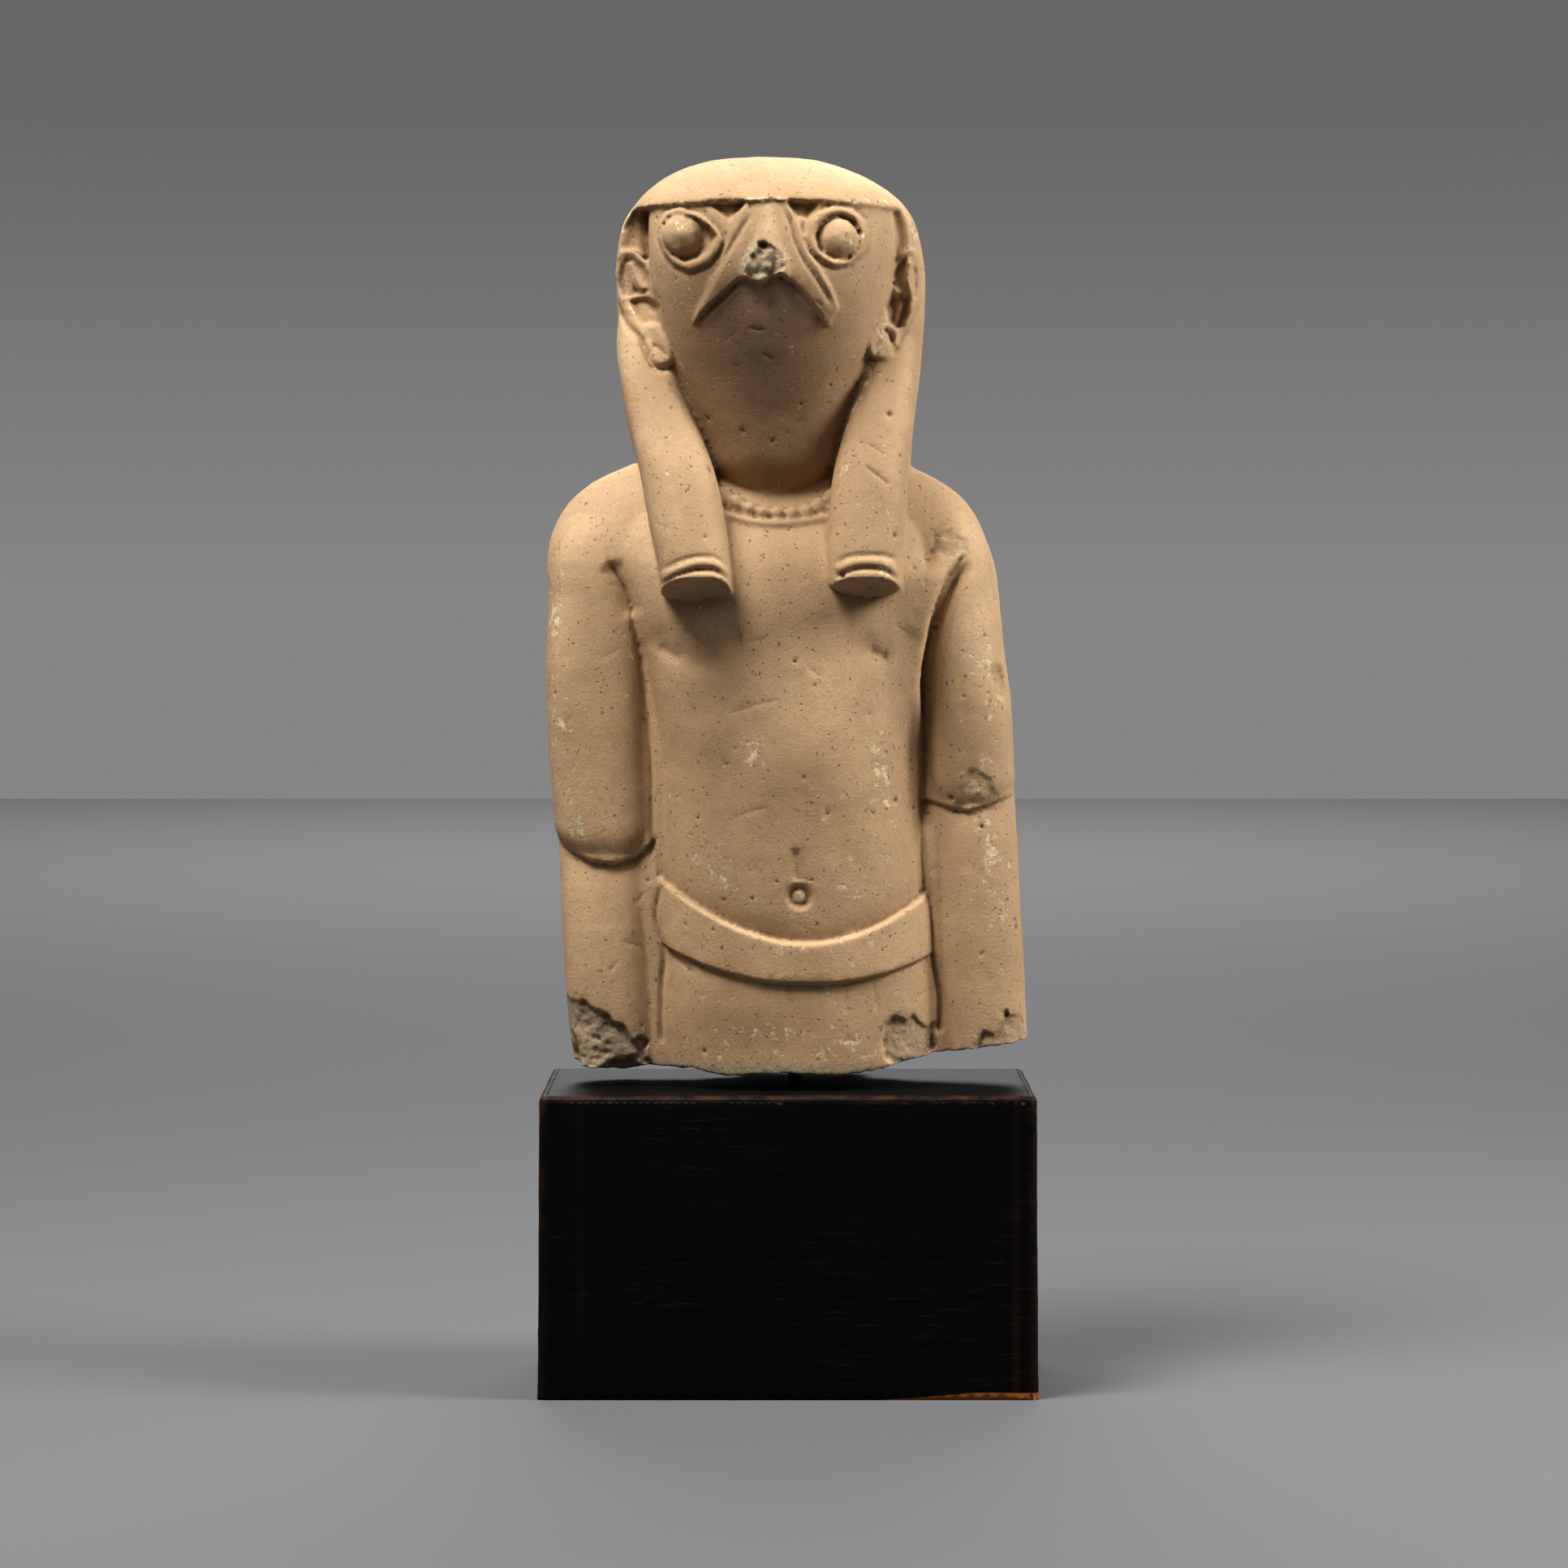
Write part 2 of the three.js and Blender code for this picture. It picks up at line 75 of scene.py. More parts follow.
def section_at(rows, heights):
    """The rows' sizes at each height, on a smooth curve through the rows."""
    rows = np.array(rows, float)
    z = rows[:, 0]
    slopes = np.gradient(rows, z, axis=0)
    i = np.clip(np.searchsorted(z, heights) - 1, 0, len(z) - 2)
    span = (z[i + 1] - z[i])[:, None]
    t = np.clip((heights - z[i]) / span[:, 0], 0, 1)[:, None]
    rise = rows[i + 1] - rows[i]
    start, end = slopes[i] * span, slopes[i + 1] * span
    return rows[i] + start * t + (3 * rise - 2 * start - end) * t**2 + (start + end - 2 * rise) * t**3


def vertex_table(mesh, name="co"):
    """The vertices' places, or another of their triples, a row each."""
    table = np.empty(len(mesh.vertices) * 3)
    mesh.vertices.foreach_get(name, table)
    return table.reshape(-1, 3)


def rounded(value, squareness):
    """A sine or cosine bent so that its circle turns into a rounded square."""
    return np.sign(value) * np.abs(value) ** (2 / squareness)


def finished(shape):
    """Turns a bmesh into a mesh with its faces outwards."""
    bmesh.ops.recalc_face_normals(shape, faces=shape.faces)
    mesh = bpy.data.meshes.new("form")
    shape.to_mesh(mesh)
    shape.free()
    return mesh


def opened(*meshes):
    """A bmesh that holds all the given meshes."""
    shape = bmesh.new()
    for mesh in meshes:
        shape.from_mesh(mesh)
    return shape


def loft(rows, sides=96, levels=60, below=0, above=0):
    """A tube through rounded sections, with a dome at either end where one is asked for.
    A row is height, middle x, middle y, half width, depth in front, depth behind, squareness."""
    dome = np.linspace(0, math.radians(84), 9)[1:]
    low, high = rows[0][0], rows[-1][0]
    levels_z = np.linspace(low, high, levels + 1)
    rings = [(z, 0, 1, 1) for z in levels_z]
    if below:
        rings = [(low, -below * math.sin(a), math.cos(a), math.cos(a) ** 0.3) for a in dome[::-1]] + rings
    if above:
        rings += [(high, above * math.sin(a), math.cos(a), math.cos(a)) for a in dome]
    rings = np.array(rings)
    steps = len(rings) - 1
    shape = bmesh.new()
    bmesh.ops.create_cone(shape, cap_ends=True, cap_tris=True, segments=sides, radius1=1, radius2=1, depth=1)
    uprights = [e for e in shape.edges if abs(e.verts[0].co.z - e.verts[1].co.z) > 0.5]
    bmesh.ops.subdivide_edges(shape, edges=uprights, cuts=steps - 1, use_grid_fill=True)
    mesh = finished(shape)
    unit = vertex_table(mesh)
    ring = rings[np.rint((unit[:, 2] + 0.5) * steps).astype(int)]
    size = section_at(rows, ring[:, 0])
    turn = np.arctan2(unit[:, 1], unit[:, 0])
    rim = np.hypot(unit[:, 0], unit[:, 1]) > 0.5
    depth = np.where(np.sin(turn) < 0, size[:, 4], size[:, 5])
    placed = np.empty_like(unit)
    placed[:, 0] = size[:, 1] + rim * ring[:, 2] * size[:, 3] * rounded(np.cos(turn), size[:, 6])
    placed[:, 1] = size[:, 2] + rim * ring[:, 3] * depth * rounded(np.sin(turn), size[:, 6])
    placed[:, 2] = ring[:, 0] + ring[:, 1]
    mesh.vertices.foreach_set("co", placed.ravel())
    return mesh


def front_of(rows, x, z):
    """How far forward a loft reaches at a place seen from the front."""
    size = section_at(rows, np.atleast_1d(np.array(z, float)))
    across = np.minimum(np.abs((np.atleast_1d(x) - size[:, 1]) / size[:, 3]), 1)
    return size[:, 2] - size[:, 4] * (1 - across ** size[:, 6]) ** (1 / size[:, 6])


def ball(middle, half):
    """A ball stretched to its half sizes."""
    shape = bmesh.new()
    place = Matrix.Translation(middle) @ Matrix.Diagonal((*half, 1))
    bmesh.ops.create_icosphere(shape, subdivisions=4, radius=1, matrix=place)
    return finished(shape)


def smooth_path(points, count=40):
    """Evenly spread points on a smooth curve through the given ones."""
    points = np.array(points, float)
    known = np.concatenate([[0], np.cumsum(np.linalg.norm(np.diff(points, axis=0), axis=1))])
    rows = np.column_stack([known, points])
    return section_at(rows, np.linspace(0, known[-1], count))[:, 1:]


def roll(points, radius):
    """A rounded roll of stone along points, as a row of overlapping balls."""
    length = np.linalg.norm(np.diff(np.array(points, float), axis=0), axis=1).sum()
    shape = bmesh.new()
    for place in smooth_path(points, int(length / (0.3 * radius)) + 2):
        spot = Matrix.Translation(place) @ Matrix.Scale(radius, 4)
        bmesh.ops.create_icosphere(shape, subdivisions=2, radius=1, matrix=spot)
    return finished(shape)


def cut(mesh, point, outward):
    """The mesh with everything beyond a plane sliced off flat."""
    shape = opened(mesh)
    everything = shape.verts[:] + shape.edges[:] + shape.faces[:]
    sliced = bmesh.ops.bisect_plane(
        shape, geom=everything, plane_co=point, plane_no=outward, clear_outer=True)
    edges = [e for e in sliced["geom_cut"] if isinstance(e, bmesh.types.BMEdge)]
    bmesh.ops.contextual_create(shape, geom=edges)
    return finished(shape)


torso_rows = [
    (-2, -3, 0, 59, 43, 32, 2.9),
    (40, -3, 0, 59.5, 43.2, 32, 2.9),
    (62, -3, 0, 59.5, 43.2, 31, 2.8),
    (95, -3, 0, 58.5, 44.6, 30, 2.6),
    (125, -3, 0, 57.5, 45.2, 30, 2.5),
    (160, -3, 0, 59, 44.2, 32, 2.5),
    (188, -3, 0, 63.5, 43.8, 34, 2.4),
    (206, -3, 0, 68, 44, 35, 2.4),
    (222, -3, 1, 72, 42, 35, 2.3),
    (238, -3, 4, 72, 35.5, 32, 2.2),
    (252, -2, 8, 64, 28.5, 28, 2.1),
    (264, -1, 10, 50, 23, 24, 2),
]
yoke_rows = [
    (196, -5, 2, 86, 18, 24, 3),
    (212, -5.4, 3, 96.5, 26, 27, 3),
    (224, -5.2, 4, 96, 27.5, 27, 3),
    (234, -5, 5, 93.5, 27, 27, 2.8),
    (242, -4.5, 6, 89.5, 26, 26, 2.6),
    (250, -4, 7, 83, 24, 25, 2.4),
    (257, -3.4, 8, 73, 21, 23, 2.2),
    (263, -2, 9, 60, 18, 20, 2.1),
]
arm_web_rows = [
    (-2, -4, 6, 92, 31, 18, 4),
    (100, -4, 6, 91, 29.5, 18, 4),
    (160, -4, 6, 90, 27, 18, 4),
    (195, -4, 6, 88, 22, 18, 4),
    (222, -5, 8, 84, 14, 16, 4),
]


def arm(side, axis, elbow, half, square):
    """One side's upper arm, round at both ends, and its forearm."""
    upper = [
        (elbow + 14, axis, -1, half, 26, 25, square),
        (elbow + 50, axis, -1, half, 27, 26, square),
        (175, axis - side * 0.5, 0, half - 0.4, 27, 27, square),
        (206, axis - side * 2, 2, 21, 27, 27, 2.3),
    ]
    fore = [
        (-2, axis + side * 0.5, -5, 19.8, 22, 24, 2.9),
        (50, axis + side * 0.5, -4, 20.4, 22.5, 24, 2.8),
        (elbow + 20, axis, -1, 20.4, 22.5, 23, 2.5),
    ]
    return [loft(upper, below=17, above=40), loft(fore)]


pillar_rows = [(-2, -3, 28, 29, 19, 19, 12), (222, -3, 28, 29, 19, 19, 12)]
wig_rear_rows = [
    (206, -3, 20, 41, 10, 31, 3),
    (232, -2, 18, 46, 10, 33, 2.8),
    (262, -1, 16, 53, 10, 35, 2.6),
    (292, 0, 12, 58, 10, 40, 2.5),
]
wig_rows = [
    (258, 0, 4, 58.5, 24, 44, 2.3),
    (280, 0.2, 4, 61.3, 30, 47, 2.3),
    (302, 1, 4, 64, 36, 50, 2.3),
    (323, 1.6, 4, 66.2, 43, 52, 2.3),
    (345, 2.3, 4, 66.9, 50, 53, 2.3),
    (358, 2.8, 4, 65.6, 55.5, 52.5, 2.45),
    (368, 3.4, 4, 62.6, 58.5, 51, 2.6),
    (376, 3.8, 4, 57.3, 56.5, 48, 2.5),
    (383, 3.2, 5, 49.5, 49, 43, 2.35),
    (389, 2.4, 6, 39.5, 38.5, 36.5, 2.1),
    (393.2, 2, 7, 28, 26, 27, 2),
    (395.2, 2, 8, 18, 17, 17, 2),
    (396, 2, 8, 6, 6, 6, 2),
]
face_rows = [
    (252, -1.5, -6, 18, 17, 20, 2.1),
    (259, -1.2, -6, 26.4, 22.5, 20, 2.1),
    (272, -1, -6, 32.9, 27.5, 20, 2.1),
    (286, -0.6, -6, 38.5, 32, 20, 2.2),
    (300, 0, -6, 44.4, 37, 20, 2.2),
    (315, 0.8, -6, 49.2, 42.5, 20, 2.3),
    (329, 1.9, -6, 52.1, 47, 20, 2.4),
    (343, 3, -6, 54.2, 49.5, 20, 2.5),
    (357, 3.8, -6, 55.3, 48.5, 20, 2.7),
    (374, 4.5, -6, 54.4, 44.5, 20, 2.8),
]
MASK_SIDE = 0.955
beak_rows = [
    (324, -1, -6, 26, 44, 20, 2),
    (332, -0.2, -6, 25, 52, 20, 1.9),
    (338, 0.4, -6, 23.5, 59, 20, 1.8),
    (346, 1, -6, 21, 62, 20, 1.8),
    (354, 1.6, -6, 17, 57, 20, 1.9),
    (364, 2.6, -6, 13.5, 51.5, 20, 2),
    (374, 3.4, -6, 11, 46.5, 20, 2),
]
lappet_rows = [
    (196, -37.2, -34, 15.2, 24, 12, 3.8),
    (217, -37, -34.5, 15.6, 24, 12, 3.8),
    (238, -39.4, -31, 16.4, 23.5, 14, 3.8),
    (259, -42.4, -24.5, 16, 24, 16, 3.8),
    (276, -46.6, -17, 15.2, 24.5, 20, 3.8),
    (294, -51, -10, 13, 24, 22, 3.8),
    (312, -53, -5, 12.5, 20, 22, 2.5),
    (330, -54, 0, 10, 15, 18, 2.4),
]
LAPPETS_MIDDLE = -0.8
LAPPET_SLANT = 0.45
LAPPET_END = (-44, 206)
LAPPET_FACE = -59
LAPPET_BACK = -46


def flipped(x):
    """The place across from x on the other lappet."""
    return 2 * LAPPETS_MIDDLE - x


def placed(name, data):
    """A new object in the scene, with its mesh or lamp."""
    thing = bpy.data.objects.new(name, data)
    bpy.context.collection.objects.link(thing)
    return thing


def modified(mesh, kind, **settings):
    """The mesh after one modifier."""
    piece = placed("form", mesh)
    modifier = piece.modifiers.new("step", kind)
    for name, value in settings.items():
        setattr(modifier, name, value)
    result = bpy.data.meshes.new_from_object(piece.evaluated_get(bpy.context.evaluated_depsgraph_get()))
    bpy.data.objects.remove(piece)
    return result


def moved(mesh, points):
    """The mesh with its vertices put at new places."""
    mesh.vertices.foreach_set("co", points.ravel())
    mesh.update()
    return mesh


def largest_shell(mesh):
    """The mesh without the crumbs that came loose in a remesh."""
    shape = opened(mesh)
    waiting = set(shape.verts)
    shells = []
    while waiting:
        shell = []
        reached = [waiting.pop()]
        while reached:
            vert = reached.pop()
            shell.append(vert)
            fresh = {edge.other_vert(vert) for edge in vert.link_edges} & waiting
            waiting -= fresh
            reached += fresh
        shells.append(shell)
    shells.sort(key=len)
    bmesh.ops.delete(shape, geom=[vert for shell in shells[:-1] for vert in shell], context="VERTS")
    return finished(shape)


def ease(value):
    """Rises smoothly from 0 to 1 as the value does."""
    t = np.clip(value, 0, 1)
    return t * t * (3 - 2 * t)


def crossings(outline, x, z):
    """Which places in the front view lie inside a closed outline."""
    within = np.zeros(len(x), bool)
    for (ax, az), (bx, bz) in zip(outline, np.roll(outline, -1, axis=0)):
        if az != bz:
            within ^= ((az > z) != (bz > z)) & (x < (bx - ax) * (z - az) / (bz - az) + ax)
    return within


def path_gap(path, x, z):
    """Distance from a path in the front view, and how far along it the nearest point is, 0 to 1."""
    starts, steps = path[:-1], np.diff(path, axis=0)
    dx = x[:, None] - starts[:, 0]
    dz = z[:, None] - starts[:, 1]
    t = np.clip((dx * steps[:, 0] + dz * steps[:, 1]) / (steps**2).sum(axis=1), 0, 1)
    gap = np.hypot(dx - t * steps[:, 0], dz - t * steps[:, 1])
    best = gap.argmin(axis=1)
    rows = np.arange(len(x))
    return gap[rows, best], (best + t[rows, best]) / len(steps)


NOISE_REPEAT = 32
HOLLOWS_REPEAT = 24


def noise(points, size, seed):
    """Smooth seeded unevenness from -1 to 1, in lumps of a size in grid squares."""
    table = np.random.default_rng(seed).uniform(-1, 1, (NOISE_REPEAT,) * 3)
    place = points / size
    cell = np.floor(place).astype(int)
    t = place - cell
    t = t * t * (3 - 2 * t)
    total = np.zeros(len(points))
    for corner in ((a, b, c) for a in (0, 1) for b in (0, 1) for c in (0, 1)):
        weight = np.abs(1 - np.array(corner) - t).prod(axis=1)
        spot = (cell + corner) % NOISE_REPEAT
        total += weight * table[spot[:, 0], spot[:, 1], spot[:, 2]]
    return total


COARSE_VOXEL = 0.9
FINE_VOXEL = 0.7

# The wig is hollowed in front, so that its level edge stands over the face
window = np.array([
    (-25, 236), (24, 236), (37, 268), (46, 290), (52, 309), (61, 319.5), (67, 330), (71, 340),
    (71, 351), (66, 357.5), (65, 362), (64.5, 367), (61.5, 371), (31, 372.1), (4, 373.3), (-33, 371.8),
    (-54, 371.9), (-56.7, 368.8), (-59.5, 364.6), (-61.4, 359.7), (-63, 356), (-67, 354), (-70, 350),
    (-70, 334), (-64, 325), (-57, 314), (-51.5, 303), (-46, 300), (-37, 268),
])
wig = modified(loft(wig_rows, 160, 90), "REMESH", mode="VOXEL", voxel_size=COARSE_VOXEL)
points = vertex_table(wig)
recess = np.interp(points[:, 0], (-52, -44, 46, 56), (-12, -6, -10, -24))
CHEEK_LEVEL = 315
recess = np.where(points[:, 2] > CHEEK_LEVEL, recess, -9) + 0.8 * noise(points, 5, 5)
hollowed = crossings(window, points[:, 0], points[:, 2]) & (points[:, 1] < recess)
points[hollowed, 1] = recess[hollowed]
moved(wig, points)

mask = loft(face_rows, 128, 90, below=6)
points = vertex_table(mask)
size = section_at(face_rows, np.clip(points[:, 2], face_rows[0][0], face_rows[-1][0]))
reach = MASK_SIDE * size[:, 3]
points[:, 0] = np.clip(points[:, 0], size[:, 1] - reach, size[:, 1] + reach)
moved(mask, points)

forms = [
    loft(torso_rows, 128, 90),
    loft(yoke_rows, 128, 40),
    *arm(-1, -83.3, 93, 22.1, 3.3),
    *arm(1, 74.6, 114, 21.3, 2.5),
    loft(arm_web_rows),
    loft(pillar_rows, 160, 90),
    loft(wig_rear_rows),
    wig,
    mask,
]
downward = (0, -math.sin(LAPPET_SLANT), -math.cos(LAPPET_SLANT))
for rows in (lappet_rows, [(z, flipped(x), *rest) for z, x, *rest in lappet_rows]):
    forms.append(cut(loft(rows), (rows[0][1], *LAPPET_END), downward))

# Ears: a slab that slants from the face out to the wig, before its hollow is carved
EAR_EDGE = 1.6
ear_left = np.array([
    (-50, 349.1), (-53.1, 352.6), (-57, 354.9), (-61.2, 354.3), (-63.6, 351.5), (-64.8, 344.6),
    (-64.4, 334.1), (-62.3, 327.1), (-58, 321.3), (-53.8, 315.5), (-51, 308.5), (-46.5, 304.3),
    (-42, 305.5), (-42, 320), (-47, 335),
])
ear_right = np.array([
    (53, 349), (56.3, 352.7), (61.8, 356.2), (67, 355), (68.6, 348.1), (67.8, 338.8), (65, 329.5),
    (59.7, 320.2), (54.8, 313.2), (51, 309.2), (46, 306.9), (43, 309), (44, 322), (49, 336),
])


def ear_front(x):
    """How far forward an ear's slab reaches at each place across."""
    return -11 - 0.85 * (66 - np.abs(x - 1.8))


for outline in (ear_left, ear_right):
    shape = bmesh.new()
    corners = [shape.verts.new((x, ear_front(x), z)) for x, z in outline]
    front = shape.faces.new(corners)
    pushed = bmesh.ops.extrude_face_region(shape, geom=[front])
    back = [v for v in pushed["geom"] if isinstance(v, bmesh.types.BMVert)]
    for vert in back:
        vert.co.y = 0
    bmesh.ops.bevel(
        shape, geom=front.edges[:], offset=EAR_EDGE, segments=3, profile=0.5, affect="EDGES", material=-1)
    forms.append(finished(shape))

# Bead collar between the lappets, over one cord
BEAD_HALF_DEPTH = 3.4
CORD_RADIUS = 1.9
bead_halves = [(4.3, 4.6), (3.4, 4.1), (3.2, 3.5), (3.1, 3.3), (3.2, 3.3), (3.2, 3.4), (3.3, 3.7), (3.4, 4.2),
               (3.6, 4.6)]
bead_line = smooth_path([(-23.4, 248.2), (-12.9, 243.2), (-6.8, 241.5), (0.4, 241), (7, 240.8),
                         (14.3, 242.2), (23, 247)], len(bead_halves))
cord_line = smooth_path([(-25, 241), (-9.1, 236.8), (2, 236.4), (11.6, 237.4), (24, 240)], 12)
for (x, z), (across, up) in zip(bead_line, bead_halves):
    y = front_of(torso_rows, x, z)[0]
    forms.append(ball((x, y - 0.4, z), (across, BEAD_HALF_DEPTH, up)))
cord_points = [(x, front_of(torso_rows, x, z)[0] + 0.2, z) for x, z in cord_line]
forms.append(roll(cord_points, CORD_RADIUS))

stone_mesh = modified(finished(opened(*forms)), "REMESH", mode="VOXEL", voxel_size=COARSE_VOXEL)
stone = vertex_table(stone_mesh)
outward = vertex_table(stone_mesh, "normal")


def seen(low, high, deepest=0):
    """The front-facing points within a box of the front view."""
    x, y, z = stone.T
    boxed = (x > low[0]) & (x < high[0]) & (z > low[1]) & (z < high[1])
    return np.flatnonzero(boxed & (y < deepest) & (outward[:, 1] < -0.05))


def inside(outline, x, z):
    """How far inside a closed outline each place lies, negative outside."""
    gap = path_gap(np.vstack([outline, outline[:1]]), x, z)[0]
    return np.where(crossings(outline, x, z), gap, -gap)


def carve(path, width, depth, fade=0.1, deepest=-5, crisp=2):
    """Cuts a groove along a path in the front view; a negative depth raises a ridge."""
    path = smooth_path(path)
    spot = seen(path.min(axis=0) - 3 * width, path.max(axis=0) + 3 * width, deepest)
    gap, run = path_gap(path, stone[spot, 0], stone[spot, 2])
    ends = ease(run / fade) * ease((1 - run) / fade)
    stone[spot, 1] += depth * ends * np.exp(-((gap / width) ** crisp))


def sink(outline, depth, soft, deepest=-5):
    """Lowers the stone inside a front outline; a negative depth raises it."""
    outline = np.array(outline, float)
    spot = seen(outline.min(axis=0) - soft, outline.max(axis=0) + soft, deepest)
    stone[spot, 1] += depth * ease(0.5 + inside(outline, stone[spot, 0], stone[spot, 2]) / soft)


def step_down(path, depth, reach, up=1):
    """Lets the stone fall away below a line across the front view, or above it where up is -1."""
    path = np.array(path, float)
    spot = seen(path.min(axis=0) - (0, 3 * reach), path.max(axis=0) + (0, 3 * reach), -5)
    x, z = stone[spot, 0], stone[spot, 2]
    down = up * (np.interp(x, *path.T) - z)
    sides = ease((x - path[0, 0]) / 4) * ease((path[-1, 0] - x) / 4)
    stone[spot, 1] += depth * sides * ease(0.5 + down / 1.2) * np.exp(-np.maximum(down, 0) / reach)


def scar(outline, depth, seed):
    """Roughens the stone inside a front outline, as where a flake came away."""
    outline = np.array(outline, float)
    spot = seen(outline.min(axis=0) - 3, outline.max(axis=0) + 3, -5)
    wander = 2.6 * noise(stone[spot], 7, seed) + 1.2 * noise(stone[spot], 2.6, seed + 4)
    gone = ease(0.5 + (inside(outline, stone[spot, 0], stone[spot, 2]) + wander) / 1.4)
    crag = 0.9 * noise(stone[spot], 7, seed + 1) + 0.7 * np.abs(noise(stone[spot], 3, seed + 2))
    crag += 0.35 * noise(stone[spot], 1.6, seed + 3)
    stone[spot, 1] += gone * depth * (1 + 0.6 * crag)


def bite(middle, half, outward_to, seed, rough=0.1):
    """Takes a lumpy scoop out of the stone, open towards one side."""
    half = np.array(half, float)
    open_to = np.array(outward_to, float) / half
    open_to /= np.linalg.norm(open_to)
    reach = (stone - middle) / half
    spot = np.flatnonzero((np.abs(reach) < 2.5).all(axis=1))
    reach = reach[spot]
    out = reach @ open_to
    across = reach - out[:, None] * open_to
    lumps = 1 + rough * noise(stone[spot], 0.35 * half.mean(), seed)
    lumps += 0.5 * rough * noise(stone[spot], 0.12 * half.mean(), seed + 1)
    span = (across**2).sum(axis=1)
    floor = -np.sqrt(np.maximum(lumps**2 - span, 0))
    taken = (span < lumps**2) & (out > floor)
    reach[taken] = across[taken] + floor[taken, None] * open_to
    stone[spot] = middle + reach * half


# Beak: a hood raised on the mask, its ridge and the broken tip
hood = np.array([
    (-5.7, 374), (-13.1, 363.6), (-15.2, 356.2), (-18.8, 345.9), (-23.8, 339.1), (-29, 328.8),
    (-31.5, 321.6), (-27.9, 324), (-22.7, 329), (-17.4, 333.2), (-12, 338), (-8, 340),
    (-4.6, 338.8), (-1.2, 337.8), (3.4, 341.2), (7, 341.6), (12.2, 336.8), (17.6, 329.9),
    (21.7, 323.7), (26, 320.5), (30.7, 327.6), (27.7, 336.8), (23.1, 345.9), (19.9, 350.5),
    (18.1, 358.5), (13.6, 368.8), (11.5, 374),
])
FACE_DEEPEST = -20
HOOD_HEIGHT = 2.4
BROKEN_TIP = -61
DIMPLE_DEPTH = 4
spot = seen((-38, 312), (38, 376), FACE_DEEPEST)
x, y, z = stone[spot].T
reach = inside(hood, x, z)
y -= HOOD_HEIGHT * ease(0.5 + reach / 1.4)
y += ease(0.5 + reach / 1.4) * np.minimum(front_of(beak_rows, x, z) - y, 0)
broken = np.array([
    (-6.2, 353.9), (-3.1, 355), (0.4, 355), (4, 353.9), (8.2, 350), (10.4, 346.5), (7.8, 343.4), (3.4, 341.2),
    (-1.2, 337.6), (-5, 338.8), (-8.8, 342.5), (-11.2, 345), (-7, 350.6),
])
crag = noise(stone[spot], 4.6, 11) + 0.9 * noise(stone[spot], 2.1, 12)
flat = BROKEN_TIP + 0.1 * (355 - z) + 1.9 * crag
wander = noise(stone[spot], 3.4, 13)
y += ease(0.5 + (inside(broken, x, z) + wander) / 0.8) * np.maximum(flat - y, 0)
dimple = np.hypot((x - 0.1) / 1.9, (z - 353.7) / 1.5)
y += DIMPLE_DEPTH * ease(1.4 - dimple)
stone[spot, 1] = y
for side in (
    [(-3, 369.2), (-7.5, 362.9), (-11.2, 357.2), (-16.3, 349.2), (-21.3, 341.2), (-25.8, 333.8),
     (-30.5, 324)],
    [(9.3, 371.5), (12.1, 364.1), (13.9, 356.1), (17, 348.1), (21.1, 341.2), (25.3, 334.4), (29.2, 326)],
):
    carve(side, 1.0, 1.5, 0.15, FACE_DEEPEST)
for side in (
    [(-6.4, 340), (-8.6, 339.6), (-12.4, 337.4), (-17.4, 333), (-22.7, 328.6), (-26.9, 325.4), (-30.3, 322)],
    [(5, 341.4), (7.4, 340.6), (11.8, 337.2), (16.9, 331.8), (21.1, 325.9), (23.5, 321.4)],
):
    carve(side, 1.0, 1.9, 0.1, FACE_DEEPEST)
    carve([(px, pz - 2.8) for px, pz in side[1:-1]], 1.1, -0.6, 0.2, FACE_DEEPEST)
sink([(-20.5, 371.3), (-5.8, 372.6), (-9.5, 368.5), (-14.1, 365.6)], 3, 1.6, FACE_DEEPEST)
sink([(11.5, 372.6), (23.5, 371.5), (19.2, 365.8), (15, 367)], 3, 1.6, FACE_DEEPEST)


LID_GROOVE = 0.8
LID_HEIGHT = 1.9
SOCKET_DEPTH = 4.2
EYEBALL_BACK = 4.4
EYEBALL_BULGE = 8


def eye(outer, inner, middle, size):
    """Carves a raised lid, a sunk socket and the ball in it."""
    outer, inner = np.array(outer, float), np.array(inner, float)
    spot = seen(outer.min(axis=0) - 3, outer.max(axis=0) + 3, -15)
    x, y, z = stone[spot].T
    within, socket = inside(outer, x, z), inside(inner, x, z)
    across = np.clip(within / np.maximum(within - socket, 0.1), 0, 1)
    lid = np.sqrt(np.clip(4 * across * (1 - across), 0, 1)) * (socket < 0) * (within > 0)
    y += LID_GROOVE * np.exp(-((within + 0.7) / 0.8) ** 2)
    y -= LID_HEIGHT * lid
    y += SOCKET_DEPTH * ease(0.35 + socket / 2)
    seat = front_of(face_rows, *middle)[0]
    round_off = 1 - ((x - middle[0]) / size) ** 2 - ((z - middle[1]) / size) ** 2
    globe = seat + EYEBALL_BACK - EYEBALL_BULGE * np.sqrt(np.clip(round_off, 0, 1))
    globe += 0.5 * noise(stone[spot], 4, 14) + 0.25 * noise(stone[spot], 2, 15)
    y[round_off > 0] = np.minimum(y, globe)[round_off > 0]
    stone[spot, 1] = y


